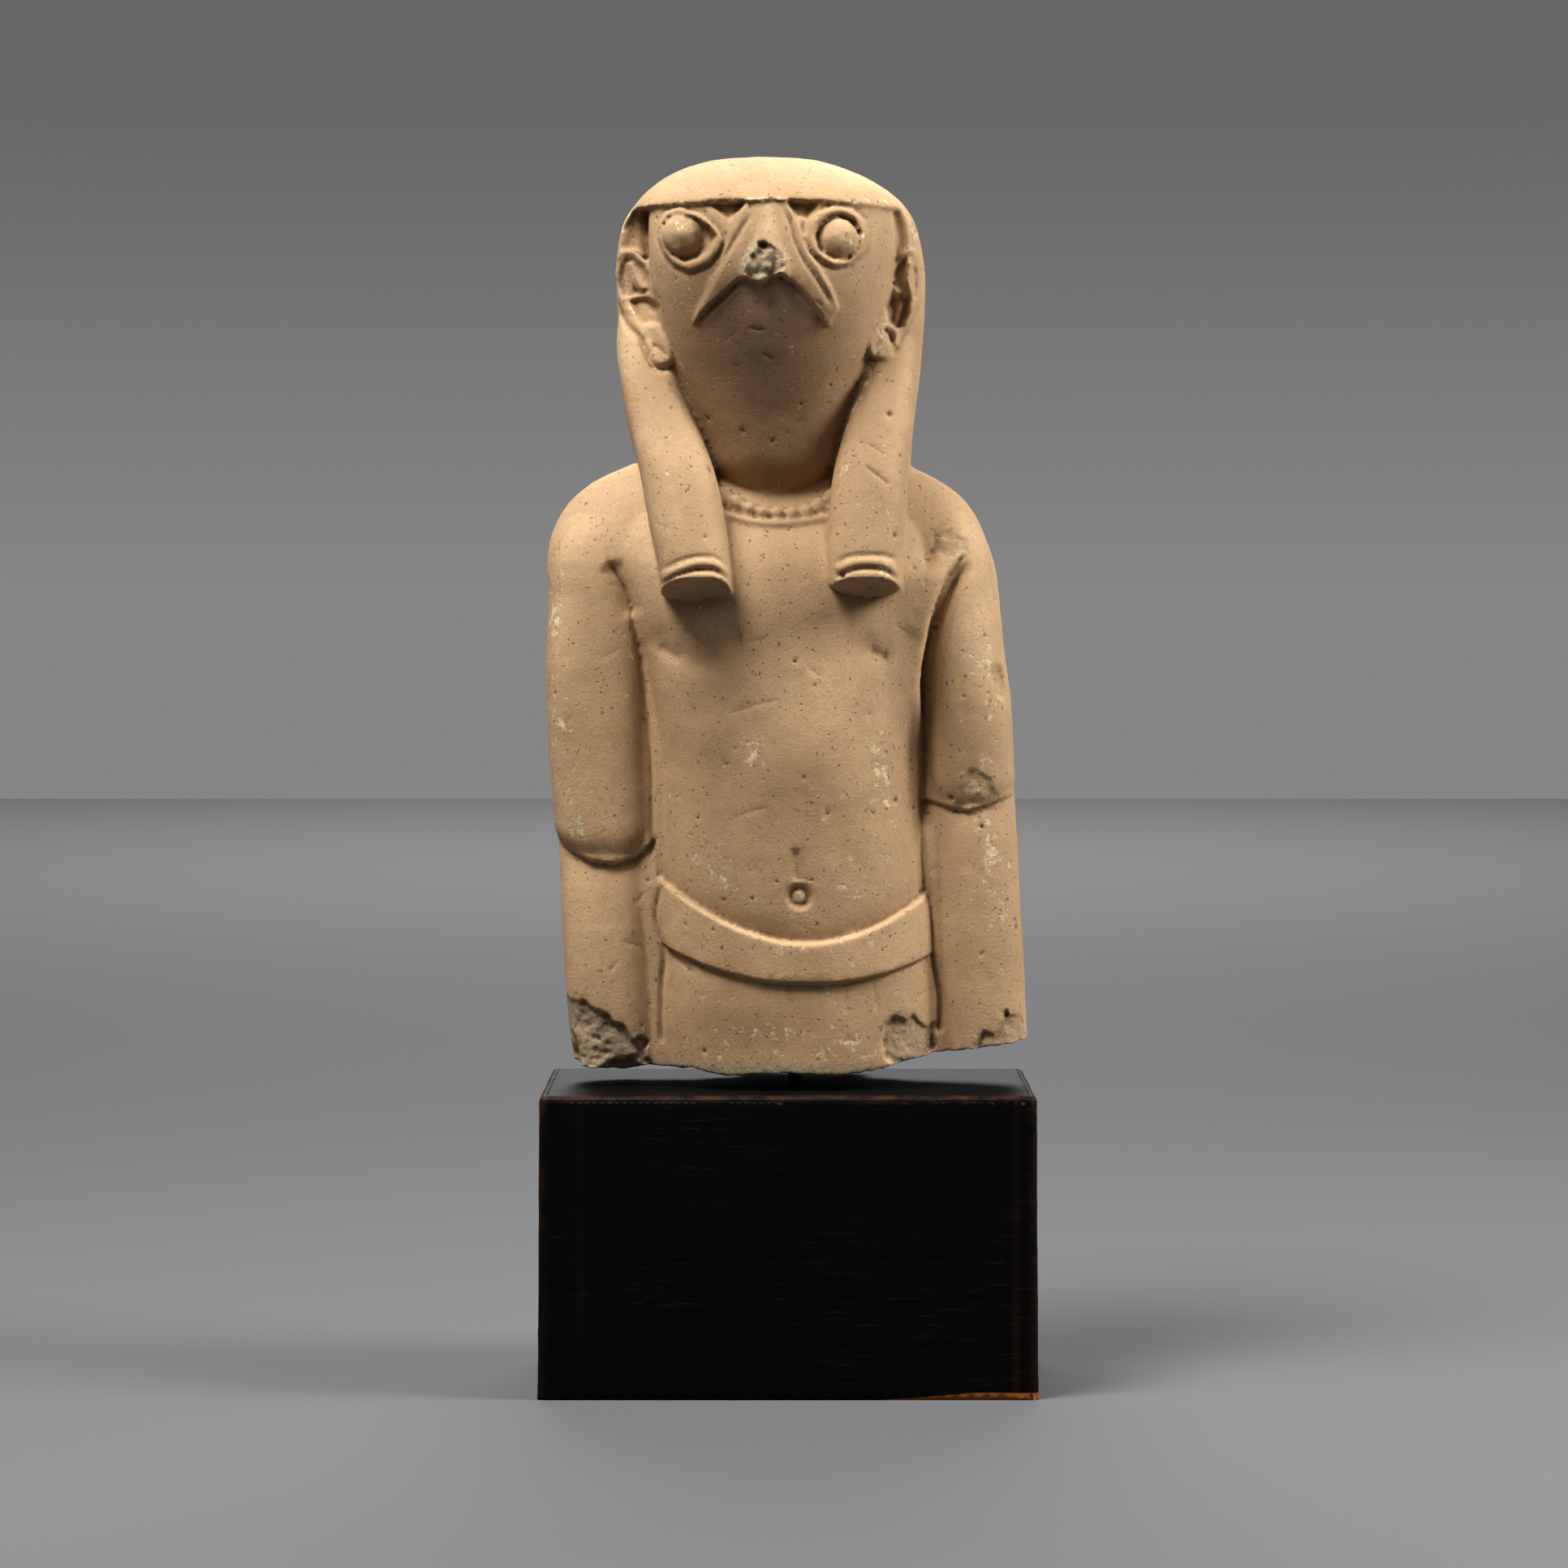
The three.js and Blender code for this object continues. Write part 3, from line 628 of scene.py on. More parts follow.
eye(
    [(-43.8, 364.2), (-40.9, 368.8), (-34.5, 370.7), (-24.4, 367.1), (-17.9, 360.8), (-15.7, 356.4),
     (-18.4, 351.6), (-23.4, 345.9), (-31.6, 342.7), (-38.3, 345.9), (-42.5, 351.6), (-44.6, 358.5)],
    [(-41.8, 363.6), (-39.3, 366.7), (-34.7, 367.6), (-27.9, 366), (-22.4, 361.9), (-19.8, 357.9),
     (-23, 352.2), (-27.8, 348.8), (-33.6, 347.6), (-38.6, 350.5), (-41.1, 355.1), (-42.3, 359.6)],
    (-33, 358.6), 9.3)
eye(
    [(18.8, 364.4), (23.8, 368.4), (30.9, 371), (38.9, 370.4), (44.1, 365.3), (45.3, 358.5),
     (42.5, 351.1), (36.3, 345.9), (30.5, 344.5), (24.9, 347.1), (20.3, 351.5), (17.6, 358)],
    [(22.3, 358.5), (24.2, 363.1), (28.4, 366.3), (34.3, 367.6), (39.5, 365.3), (42, 359.6),
     (40.6, 352.8), (35.9, 348.2), (29.6, 348.2), (24.2, 352)],
    (32.2, 357.2), 9)

# Ears: a curled rim round the hollow, an inner fold and a lobe
for outline, depth, soft in (
    ([(-61.2, 348.4), (-59.1, 351), (-55.9, 350.5), (-51.9, 347.6), (-50, 343.4), (-50, 336.8), (-52.6, 335),
      (-57.6, 334.7), (-61.8, 334.8), (-62.9, 338.4), (-62.4, 344.3)], 2.6, 2.2),
    ([(-58.5, 332.5), (-55.1, 333.6), (-51, 333.6), (-46, 330), (-46, 322.5), (-52.4, 323),
      (-55.5, 326.7)], 4.5, 2.2),
    ([(57.5, 348.3), (60.6, 350.8), (61.6, 346.7), (60.4, 340.9), (61.3, 335.1), (58, 334.8), (55, 340),
      (55.7, 345)], 2, 2),
    ([(50.6, 330), (54.7, 334.6), (58.8, 335.4), (61.6, 333.4), (60.8, 326.7), (58, 321.8), (55.5, 320.6),
      (52, 323)], 6, 2.4),
    ([(-54, 321.6), (-51.6, 322.5), (-47.5, 321.6), (-44, 316.7), (-42, 308.4), (-43.5, 304.7),
      (-47.7, 305.1), (-50.3, 309.2), (-52.9, 315)], -1.5, 3),
    ([(48.6, 317.2), (52.5, 313.8), (53.1, 308.4), (50.5, 306.8), (46.4, 307.6)], -1.5, 2.4),
):
    sink(outline, depth, soft)
for path, width, depth in (
    ([(-63.4, 350), (-62.9, 352.6), (-61.5, 353.8), (-58.2, 354), (-54, 353.6), (-50.4, 351.6)], 1.3, -1.5),
    ([(-58, 350.4), (-56.6, 345), (-54.8, 340.9), (-51.7, 336)], 2.2, -2.4),
    ([(-60.5, 331), (-58, 326), (-55, 321.5), (-52.8, 316)], 1.5, -1.2),
    ([(-50.2, 313.9), (-47, 312.1), (-43, 307.6)], 0.6, 1.3),
    ([(-48.8, 313.3), (-50.9, 309.4)], 0.5, 0.8),
    ([(56.8, 348), (59.6, 352), (63.4, 353.5), (66, 351.6), (67.2, 347.6), (67, 341), (65, 333.5),
      (61.6, 326.4), (57.6, 319)], 1.5, -1.6),
    ([(-65, 345), (-65.2, 333.5), (-62.7, 326.9), (-59.8, 321.4), (-55.4, 316.8), (-52.7, 310), (-49.8, 304),
      (-45.4, 302.4), (-41, 304)], 1.3, 3.4),
    ([(69.3, 345), (68.6, 338.8), (65.8, 329.5), (60.5, 320.2), (55.6, 312.6), (51.6, 308)], 1.0, 1.6),
    ([(63.4, 350.5), (61.7, 345), (61.6, 340), (63.6, 334)], 1.1, -2),
    ([(64.2, 348), (65, 343.5), (64.6, 338.5), (63.8, 333.4)], 0.8, 2.4),
    ([(50.6, 322.2), (53.6, 321.4), (55, 317.4), (54.2, 312.4)], 1.3, -1.4),
    ([(49.6, 320.5), (52, 317.6), (53.4, 313.8)], 0.8, 1.8),
):
    carve(path, width, depth, 0.12)
scar([(-58.2, 333.5), (-54.2, 336.2), (-50.1, 335), (-46.8, 333.5), (-46.4, 329), (-50, 331.5)], 1, 71)

# Cuffs of the lappets, each of two flat bands over a slanting end
for left, right, width, depth, crisp in (
    ([(-52.5, 216), (-43.7, 220.3), (-36.2, 222.2), (-28.8, 222), (-20.8, 216.4)],
     [(22.8, 219.8), (28, 222.2), (36.1, 223.3), (42.7, 223), (49.8, 221)], 0.8, 0.9, 2),
    ([(-52.5, 213.2), (-43, 217.3), (-34.8, 219.6), (-28.2, 219.2), (-20.6, 214.2)],
     [(22.6, 216.6), (31.1, 219.8), (38.5, 220.2), (44.9, 218.8), (49.8, 214.8)], 1.8, -1.7, 4),
    ([(-52, 210.2), (-43.1, 215), (-34.9, 217), (-28.3, 216.4), (-20.8, 211.6)],
     [(23, 213.6), (30.1, 216.6), (38.3, 217.3), (44.7, 215.6), (49.2, 212.2)], 0.6, 1, 2),
    ([(-51.5, 207.8), (-43.3, 212.4), (-33.4, 214), (-26.9, 213.2), (-21, 208.6)],
     [(22.8, 210.6), (29.9, 213.9), (38.1, 214.4), (44.6, 213.2), (49, 209.4)], 2.1, -2, 4),
):
    for path in (left, right):
        carve(path, width, depth, 0.02, LAPPET_BACK, crisp)

# Each lappet's end slants back to the chest, and its lower rim is half an ellipse
for edge_line, middle, half, rim_side, rim_foot in (
    ([(-54, 205.4), (-43.3, 210), (-33.4, 211.6), (-26.9, 210.8), (-19, 206)], -36.6, 15.9, 208.8, 203.2),
    ([(21, 207.6), (29.9, 211.5), (38.1, 212), (44.6, 210.8), (51, 207)], 36, 15.9, 212, 205.8),
):
    edge_line = np.array(edge_line)
    spot = np.flatnonzero((np.abs(stone[:, 0] - middle) < 19) & (stone[:, 1] < -20)
                          & (stone[:, 2] > 190) & (stone[:, 2] < 216))
    x, y, z = stone[spot].T
    below = np.interp(x, *edge_line.T) - z
    end = (x > edge_line[0, 0]) & (x < edge_line[-1, 0]) & (y < LAPPET_BACK) & (below > 0) & (z > 195)
    y[end] = np.maximum(y, np.minimum(LAPPET_FACE + 2.2 * below, LAPPET_BACK))[end]
    rim = rim_side - (rim_side - rim_foot) * np.sqrt(1 - np.clip(np.abs(x - middle) / half, 0, 1) ** 2)
    stone[spot, 1] = np.where(z < rim, np.maximum(y, front_of(torso_rows, x, z)), y)

# Belt: a raised band that dips at the front, higher at both ends
BELT_THICKNESS = 2.2
BELT_TOP = 56.8
BELT_FOOT = 40
BELT_SOFT = 1.2
BELT_ENDS = (-62, 56.5)


def belt_edge(x, lowest, rise, half, power):
    """The height of one of the belt's edges at each place across."""
    return lowest + rise * np.abs((x - 1) / half) ** power


x, y, z = stone.T
below_top = belt_edge(x, BELT_TOP, 25, 58, 1.9) - z
above_foot = z - belt_edge(x, BELT_FOOT, 13, 56, 2.1)
band = ease(0.5 + below_top / BELT_SOFT) * ease(0.5 + above_foot / BELT_SOFT)
band *= ease((x - BELT_ENDS[0]) / 2.5) * ease((BELT_ENDS[1] - x) / 2.5)
band *= (y < 30) | (np.abs(x + 3) > 31)
stone[:, :2] += BELT_THICKNESS * band[:, None] * outward[:, :2]
belt_x = np.linspace(-60, 56, 30)
for curve, depth, reach, up in (
    ((BELT_TOP + 0.6, 25, 58, 1.9), 2.8, 6, -1),
    ((BELT_FOOT - 0.6, 13, 56, 2.1), 1.1, 3, 1),
):
    step_down(np.column_stack([belt_x, belt_edge(belt_x, *curve)]), depth, reach, up)

# Elbows: the upper arms' round ends stand over the forearms
step_down([(-106, 101), (-97.2, 95.1), (-89.7, 91.5), (-79.4, 90.2), (-70.2, 93), (-63.3, 99),
           (-60, 103)], 4, 9)
step_down([(52, 119), (58, 117), (66.5, 114.7), (74.2, 113.2), (82, 115.2), (97, 121)], 3, 9)

# The chest runs on over the right armpit as far as the arm's edge
FLUSH_FROM = 42
armpit = np.array([(56.5, 135), (56.7, 153), (56.5, 165), (57.6, 175), (60.4, 186), (63.3, 196.4),
                   (66.8, 206), (70.2, 213), (76.6, 221.7), (82.4, 226)])
spot = np.flatnonzero((stone[:, 0] > FLUSH_FROM) & (stone[:, 0] < 84) & (stone[:, 1] < -12)
                      & (stone[:, 2] > 135) & (stone[:, 2] < 226))
x, y, z = stone[spot].T
beyond = x - FLUSH_FROM
flush = front_of(torso_rows, FLUSH_FROM, z) + 0.5 * beyond - 0.0075 * beyond**2
share = ease((z - 135) / 30) * ease((226 - z) / 14) * (x < np.interp(z, armpit[:, 1], armpit[:, 0]))
stone[spot, 1] += share * (np.minimum(y, flush) - y)

# Chest and belly
for path, width, depth in (
    ([(35, 183.5), (39, 180.6), (44, 179.4)], 2.2, 1.1),
    ([(-55, 184.5), (-50, 181), (-44.6, 178)], 2.4, 1),
    ([(-1, 99), (-0.8, 91), (-0.6, 83)], 2.2, 1.2),
    ([(-60, 192), (-49, 181.5), (-37, 177.5), (-25, 180)], 6, 1.3),
    ([(29, 190), (39, 180.5), (49, 182), (56, 194)], 5.5, 1.3),
    ([(-75, 221), (-69, 209), (-64.5, 196)], 5, 2.6),
    ([(-57.8, 51.4), (-52, 47.5), (-47.8, 43.4)], 0.8, 0.9),
    ([(-7.5, 41), (-8, 25)], 0.8, 0.4),
    ([(5.1, 41), (4.8, 25)], 0.8, 0.4),
    ([(16.6, 41), (16.2, 25)], 0.8, 0.4),
    ([(28, 42), (30.4, 25)], 0.8, 0.4),
):
    carve(path, width, depth, 0.2)

# Grooves where the arms meet the body
for path, width, depth, fade in (
    ([(-75.5, 223.2), (-66, 201), (-65.4, 192), (-63.4, 178), (-62.3, 160), (-61.6, 128), (-62.4, 100),
      (-60.6, 88), (-60, 80)], 0.9, 2, 0.04),
    ([(-60, 82), (-63, 66), (-60.5, 52), (-62.3, 38), (-64, 9)], 1.0, 1.6, 0.05),
    ([(83, 226.5), (77.4, 221.7), (71, 213), (67.6, 206), (64.1, 196.4), (61.2, 186), (58.4, 175),
      (57.3, 165), (57.2, 153), (57, 141), (55.9, 125), (54.3, 112), (53.6, 101), (53.6, 87),
      (55.5, 70)], 1.1, 1.8, 0.05),
    ([(83.5, 223.5), (77, 216), (71.5, 208), (67.8, 199), (64.8, 189), (62, 178), (60.3, 168),
      (59.4, 155), (58.8, 142), (57.2, 122), (55.4, 100)], 3, 5, 0.12),
    ([(54, 80), (55.5, 70), (55.6, 50), (57.6, 32), (56.5, 9)], 1.4, 3, 0.05),
):
    carve(path, width, depth, fade)

# Navel, drilled and later filled
NAVEL = (-0.6, 77.2)
NAVEL_RADIUS = 6.8
FILLING_RADIUS = 3.6
spot = seen((-9, 68), (8, 87), -20)
off = np.hypot(stone[spot, 0] - NAVEL[0], stone[spot, 2] - NAVEL[1])
stone[spot, 1] += 2.6 * ease((NAVEL_RADIUS - off) / 5) - 1.9 * ease((FILLING_RADIUS - off) / 1.6)

# The break below the belt: ragged, higher to the right
BREAK_TOP = 40
ROWS_FOOT = -2
break_line = np.array([
    (-110, 4), (-93.4, 1.8), (-80.9, 0.3), (-69.9, 3.2), (-64, 2.1), (-50.4, 2.5), (-40.8, 0), (-27.8, 0.2),
    (-12.4, 0.2), (-5.1, 0.6), (11.7, 0.9), (22, 2.1), (36.4, 3.6), (45, 6), (55.2, 8.1), (65, 8.8),
    (72.4, 9.5), (79.4, 10.9), (100, 14),
])
low = np.flatnonzero(stone[:, 2] < BREAK_TOP)
edge = np.interp(stone[low, 0], *break_line.T)
flatways = stone[low] * (1, 1, 0)
under = ease(-outward[low, 2] * 1.6 - 0.2)
crag = 1.1 * noise(flatways, 14, 21) + 0.7 * np.abs(noise(flatways, 6, 22)) + 0.4 * noise(flatways, 2.6, 23)
lifted = (stone[low, 2] - ROWS_FOOT) * (BREAK_TOP - edge) / (BREAK_TOP - ROWS_FOOT)
stone[low, 2] = edge + lifted + under * np.maximum(crag, -edge)

scars = [
    ([(-105, 31), (-92, 29.5), (-80, 21), (-70.5, 12), (-69, -3), (-106, -4)], 2.6),
    ([(31, 13), (33, 22), (38, 27), (45, 26), (53, 20.5), (55, 12), (48, 6), (37, 4)], 1.8),
    ([(70, 11), (75, 21), (80, 15), (86, 25), (93, 21), (93, 8), (80, 6)], 1.4),
    ([(70, 115), (71, 123), (77, 130), (84, 126), (86, 118), (80, 113)], 0.7),
    ([(64, 224), (68, 231), (76, 234), (83, 229), (80, 224), (70, 222)], 0.9),
]
for number, (outline, depth) in enumerate(scars):
    scar(outline, depth, 80 + 5 * number)
for number, (middle, half, out) in enumerate([
    ((-80, -34, -2), (20, 14, 13), (0, -1, -1)),
    ((-108, -14, 4), (9, 20, 18), (-1, -0.4, -0.5)),
    ((-88, 32, 4), (15, 12, 9), (0, 1, -1)),
    ((70, 30, 3), (16, 12, 10), (0, 1, -1)),
    ((96, -22, 170), (8, 8, 12), (1, -0.6, 0)),
]):
    bite(middle, half, out, 31 + number)

# The mouth of the hole for the pin
PIN_GRID = (-7, -2)
HOLE_RADIUS = 3.4
HOLE_MOUTH = 12
hole = np.hypot(stone[:, 0] - PIN_GRID[0], stone[:, 1] - PIN_GRID[1]) < HOLE_RADIUS
stone[hole & (stone[:, 2] < HOLE_MOUTH), 2] += HOLE_MOUTH

stone_mesh = modified(moved(stone_mesh, stone), "REMESH", mode="VOXEL", voxel_size=FINE_VOXEL)
stone = vertex_table(stone_mesh)
outward = vertex_table(stone_mesh, "normal")


def averaged(values, pairs, rounds):
    """Each point's value, evened out over its neighbours a number of times."""
    a, b = pairs.T
    count = np.bincount(a, minlength=len(values)) + np.bincount(b, minlength=len(values)) + 1
    for step in range(rounds):
        total = values.copy()
        total += np.bincount(a, values[b], len(values)) + np.bincount(b, values[a], len(values))
        values = total / count
    return values


def hollows(points, cell, largest, share, seed):
    """How deep each point lies in seeded round hollows, one to a cell of a grid, 0 to 1."""
    table = np.random.default_rng(seed).uniform(0, 1, (HOLLOWS_REPEAT,) * 3 + (5,))
    place = points / cell + seed * 0.37
    corner = np.floor(place).astype(int)
    chance = table[tuple((corner % HOLLOWS_REPEAT).T)]
    size = largest * (0.45 + 0.55 * chance[:, 3])
    room = 1 - 2 * largest / cell
    middle = 0.5 + (chance[:, :3] - 0.5) * room
    gap = np.linalg.norm((place - corner - middle) * cell, axis=1) * (1 + 0.3 * noise(points, 1.3, seed))
    return np.where(chance[:, 4] < share, np.clip(1 - gap / size, 0, 1), 0) * size


links = np.empty(len(stone_mesh.edges) * 2, np.int32)
stone_mesh.edges.foreach_get("vertices", links)
links = links.reshape(-1, 2)

# The edges of the brow and of the mask's right side are crumbled
brow_edge = smooth_path([(-60, 364), (-58, 368), (-54, 371.6), (-33, 371.9), (4, 373.2), (31, 372.2),
                         (60, 371), (65, 362)])
cheek_edge = smooth_path([(50.5, 322), (46.9, 313), (43.3, 303), (40, 296), (35.1, 287.3), (31, 280),
                          (27.5, 272.6)])
for path, deepest in ((brow_edge, -12), (cheek_edge, -8)):
    spot = seen(path.min(axis=0) - 5, path.max(axis=0) + 5, deepest)
    gap = path_gap(path, stone[spot, 0], stone[spot, 2])[0]
    chips = np.maximum(0.25 + noise(stone[spot], 3.4, 59) + 0.5 * noise(stone[spot], 1.8, 60), 0)
    stone[spot, 1] += 0.9 * chips * np.exp(-((gap / 1.5) ** 2))

# Hand-carved unevenness, long buried and rubbed, with pits where shells and grit have gone
sway = 0.35 * noise(stone, 34, 51) + 0.22 * noise(stone, 15, 52) + 0.1 * noise(stone, 5, 53)
sway += 0.05 * noise(stone, 2.2, 54)
pitted = np.maximum(hollows(stone, 12.7, 1.7, 0.3, 55), hollows(stone, 7.1, 1.2, 0.3, 56))
sway -= 0.8 * pitted
stone += outward * sway[:, None]

# Nicks and scratches: some seen on the figure, the rest strewn
for path, width, depth in (
    ([(-27.7, 154.5), (-15, 159), (-2.9, 161.8)], 0.6, 0.3),
    ([(-28.9, 110), (-19, 113.5), (-10.1, 116)], 0.6, 0.2),
    ([(36.9, 262), (43, 257), (49, 252)], 0.8, 0.6),
    ([(39, 271), (44, 267.5), (47, 266)], 0.6, 0.4),
    ([(-8, 320), (-4, 318.5), (-1, 319)], 0.7, 0.5),
    ([(-3, 309), (2, 306)], 0.7, 0.5),
    ([(21, 331), (24, 328)], 0.7, 0.5),
    ([(-31.9, 380.5), (-29, 377), (-24.4, 379)], 0.5, 0.6),
):
    carve(path, width, depth, 0.2)
strokes = np.random.default_rng(91)
for number in range(50):
    start = strokes.uniform((-98, 12), (88, 385))
    turn = strokes.choice([0.5, 1.1, 2.3, 2.8]) + strokes.uniform(-0.25, 0.25)
    length = strokes.uniform(3, 13)
    end = start + length * np.array([math.cos(turn), math.sin(turn)])
    bend = (start + end) / 2 + strokes.uniform(-0.6, 0.6, 2)
    carve([start, bend, end], strokes.uniform(0.45, 0.8), strokes.uniform(0.12, 0.35), 0.3)

# Where the surface is rubbed pale, broken fresh, dirty, stained and darkened with patina, and where shade is
# painted on
smooth = np.column_stack([averaged(stone[:, k], links, 8) for k in range(3)])
bulge = ((stone - smooth) * outward).sum(axis=1)
x, y, z = stone.T
front = (outward[:, 1] < -0.1) & (y < -4)
patch = noise(stone, 9, 95) + 0.6 * noise(stone, 3.6, 96)
pale = ease((bulge - 0.12) / 0.35) * (0.35 + 0.45 * noise(stone, 16, 97) + 0.3 * noise(stone, 5, 98))
dirt = ease((-bulge - 0.08) / 0.3)


def smudge(middle, half, turn=0):
    """How strongly a soft oval mark on the front shows at each point, 0 to 1."""
    c, s = math.cos(turn), math.sin(turn)
    across = ((x - middle[0]) * c + (z - middle[1]) * s) / half[0]
    along = ((z - middle[1]) * c - (x - middle[0]) * s) / half[1]
    return front * np.exp(-(across**2 + along**2))


for middle, half, turn, strength in (
    ((-34.2, 361.6), (4.6, 4.2), 0, 1.3), ((36.6, 356.6), (3.4, 3.8), 0, 1.4),
    ((-57, 343), (5.5, 8), 0.2, 0.7), ((72, 227.5), (10, 5), -0.5, 0.8), ((-99, 202), (6, 18), 0, 1),
    ((-100, 150), (5, 26), 0, 0.7), ((86, 172), (8, 20), 0.1, 0.7), ((80, 126), (9, 12), 0, 1),
    ((83, 100), (8, 16), 0.1, 0.6), ((37, 133), (5, 22), 0.1, 0.9), ((-36, 90), (9, 14), 0.4, 0.9),
    ((-16, 137), (6, 12), 0.2, 0.8), ((26, 84), (14, 12), 0.3, 0.6), ((7.9, 40), (2, 17), 0, 0.5),
    ((84, 66), (7, 24), 0, 0.55), ((-94, 114), (6, 18), 0, 0.8), ((30, 262), (3, 7), -0.3, 0.4),
    ((43, 247), (5, 9), 0.5, 0.35), ((70, 205), (7, 12), 0.3, 0.35), ((0, 12), (80, 10), 0, 0.5),
    ((-22, 214), (5, 8), 0.2, 0.6), ((44, 216), (6, 4), 0, 0.6), ((1, 348), (9, 6), 0, 0.4),
    ((-60, 366), (5, 9), 0.6, 0.9), ((66, 362), (5, 10), -0.5, 0.8), ((1, 395), (24, 4), 0, 0.4),
):
    pale += strength * smudge(middle, half, turn) * (0.75 + 0.6 * patch)
# Dark stains, and painted shade: a band where the belly turns under above the belt, and a spot in the crease
# between the mask's lower left edge and the left lappet
stains_and_painted_shade = 0
for middle, half, strength in (
    ((3, 66), (9, 2.4), 0.9), ((-4.9, 55.6), (1.6, 1.4), 0.9), ((-0.3, 53.5), (1.3, 1.2), 0.8),
    ((-27.6, 261), (3.6, 8), 0.6), ((-15.6, 133), (1.6, 1.6), 0.8), ((-43, 92), (4, 9), 0.4),
    ((88.5, 64), (1.2, 14), 0.8), ((86, 26), (2, 3), 0.9), ((8, 140), (4, 2.6), 0.4),
    ((-6, 131), (3, 2), 0.5),
):
    stains_and_painted_shade += strength * smudge(middle, half) * np.clip(0.8 + 0.7 * patch, 0, 1)
for path, width, strength in ((brow_edge, 1.5, 0.5), (cheek_edge, 1.8, 0.55)):
    gap = path_gap(path, x, z)[0]
    pale += front * np.exp(-((gap / width) ** 2)) * strength * (1 + 0.8 * patch)
navel_gap = np.hypot(x - NAVEL[0], z - NAVEL[1])
pale += front * 0.8 * ease((3.4 - navel_gap) / 0.8)
# Painted shade along the upper rim of the navel's hollow
stains_and_painted_shade += front * 0.55 * np.exp(-(((navel_gap - 3.8) / 0.7) ** 2)) * ease((z - NAVEL[1] + 1) / 3)
grey = ease((9 - z) / 7) * ease((-outward[:, 2] + 0.4) / 0.6)
breaks = [(outline, min(0.32 * depth, 0.8), 2) for outline, depth in scars] + [(broken, 1, 1.5)]
for outline, strength, soft in breaks:
    grey = np.maximum(grey, front * strength * ease(0.5 + inside(outline, x, z) / soft))
faded = 1 - 0.3 * noise(stone, 17, 99)
# Brown patina on the torso, belly and left side, and painted shade: on the throat under the beak, the mask's
# left side, the lappets' slanting ends and the right lappet, where the head's shadow falls
patina_and_painted_shade = 0
for middle, half, strength in (
    ((-4, 290), (30, 56), 0.62), ((-30, 335), (18, 22), 0.45), ((-34, 148), (22, 34), 0.4),
    ((4, 128), (16, 14), 0.3), ((-34, 203), (14, 5), 0.5), ((36, 206), (14, 5), 0.5),
    ((42, 254), (11, 38), 0.3), ((-66, 60), (10, 30), 0.2), ((-40, 20), (30, 10), 0.25),
):
    patina_and_painted_shade += strength * smudge(middle, half) * faded
marks = {"patina_and_painted_shade": patina_and_painted_shade, "pale": pale, "dirt": dirt, "grey": grey, "stains_and_painted_shade": stains_and_painted_shade}

lean = stone.copy()
lean[:, 0] = GRID * (stone[:, 0] + MEDIAN - LEAN * stone[:, 2])
lean[:, 1] = GRID * stone[:, 1]
lean[:, 2] = GRID * stone[:, 2] + STONE_FOOT
lean = np.clip(lean, stone_low, stone_high)
moved(stone_mesh, lean)
FINE_ENOUGH = 190000
tree = KDTree(len(lean))
for number, place in enumerate(lean):
    tree.insert(place, number)
tree.balance()
stone_mesh = modified(stone_mesh, "DECIMATE", ratio=FINE_ENOUGH / (2 * len(stone_mesh.polygons)))
stone_mesh = largest_shell(stone_mesh)
nearest = [tree.find(place)[1] for place in vertex_table(stone_mesh)]
for name, values in marks.items():
    layer = stone_mesh.attributes.new(name, "FLOAT", "POINT")
    layer.data.foreach_set("value", np.clip(values, 0, 1)[nearest].astype(np.float32))
stone_mesh.shade_smooth()
figure = placed("stone_figure", stone_mesh)


def linear(colour):
    """A #rrggbb screen colour as the linear colour that shaders take."""
    parts = [int(colour[i:i + 2], 16) / 255 for i in (1, 3, 5)]
    return [c / 12.92 if c < 0.04045 else ((c + 0.055) / 1.055) ** 2.4 for c in parts] + [1]


def material_of(name):
    """A new material without nodes."""
    material = bpy.data.materials.new(name)
    material.use_nodes = True
    material.node_tree.nodes.clear()
    return material


def node(material, kind, inputs=(), **settings):
    """Adds a node with its settings. An input is a value, an output to link, or a node to link
    by its first output."""
    added = material.node_tree.nodes.new("ShaderNode" + kind)
    for name, value in settings.items():
        setattr(added, name, value)
    for socket, value in dict(inputs).items():
        if isinstance(value, bpy.types.Node):
            value = value.outputs[0]
        if isinstance(value, bpy.types.NodeSocket):
            material.node_tree.links.new(value, added.inputs[socket])
        else:
            added.inputs[socket].default_value = value
    return added


# Limestone, rubbed smooth by hand and long buried: matt, honey brown, mottled, with cream where
# the skin is worn or pitted through, grey in the breaks, dark dirt in the hollows, brown patina and
# stains, and darker browns painted as shade on the throat, the lappets, above the belt and in the navel
limestone = material_of("limestone")
coords = node(limestone, "TexCoord").outputs["Object"]
lumps = {}
for name, size, detail, rough in (
    ("patina", 60, 5, 0.6), ("mottle", 11, 6, 0.65), ("speckle", 2.2, 6, 0.7), ("flake", 5.5, 10, 0.76),
    ("crumb", 1.6, 5, 0.7), ("pock", 2.6, 4, 0.6), ("tooth", 1.1, 5, 0.65),
):
    lumps[name] = node(limestone, "TexNoise", {
        "Vector": coords, "Scale": 1 / (GRID * size), "Detail": detail, "Roughness": rough}).outputs["Fac"]
painted = {}
for name in marks:
    painted[name] = node(limestone, "Attribute", attribute_name=name).outputs["Fac"]

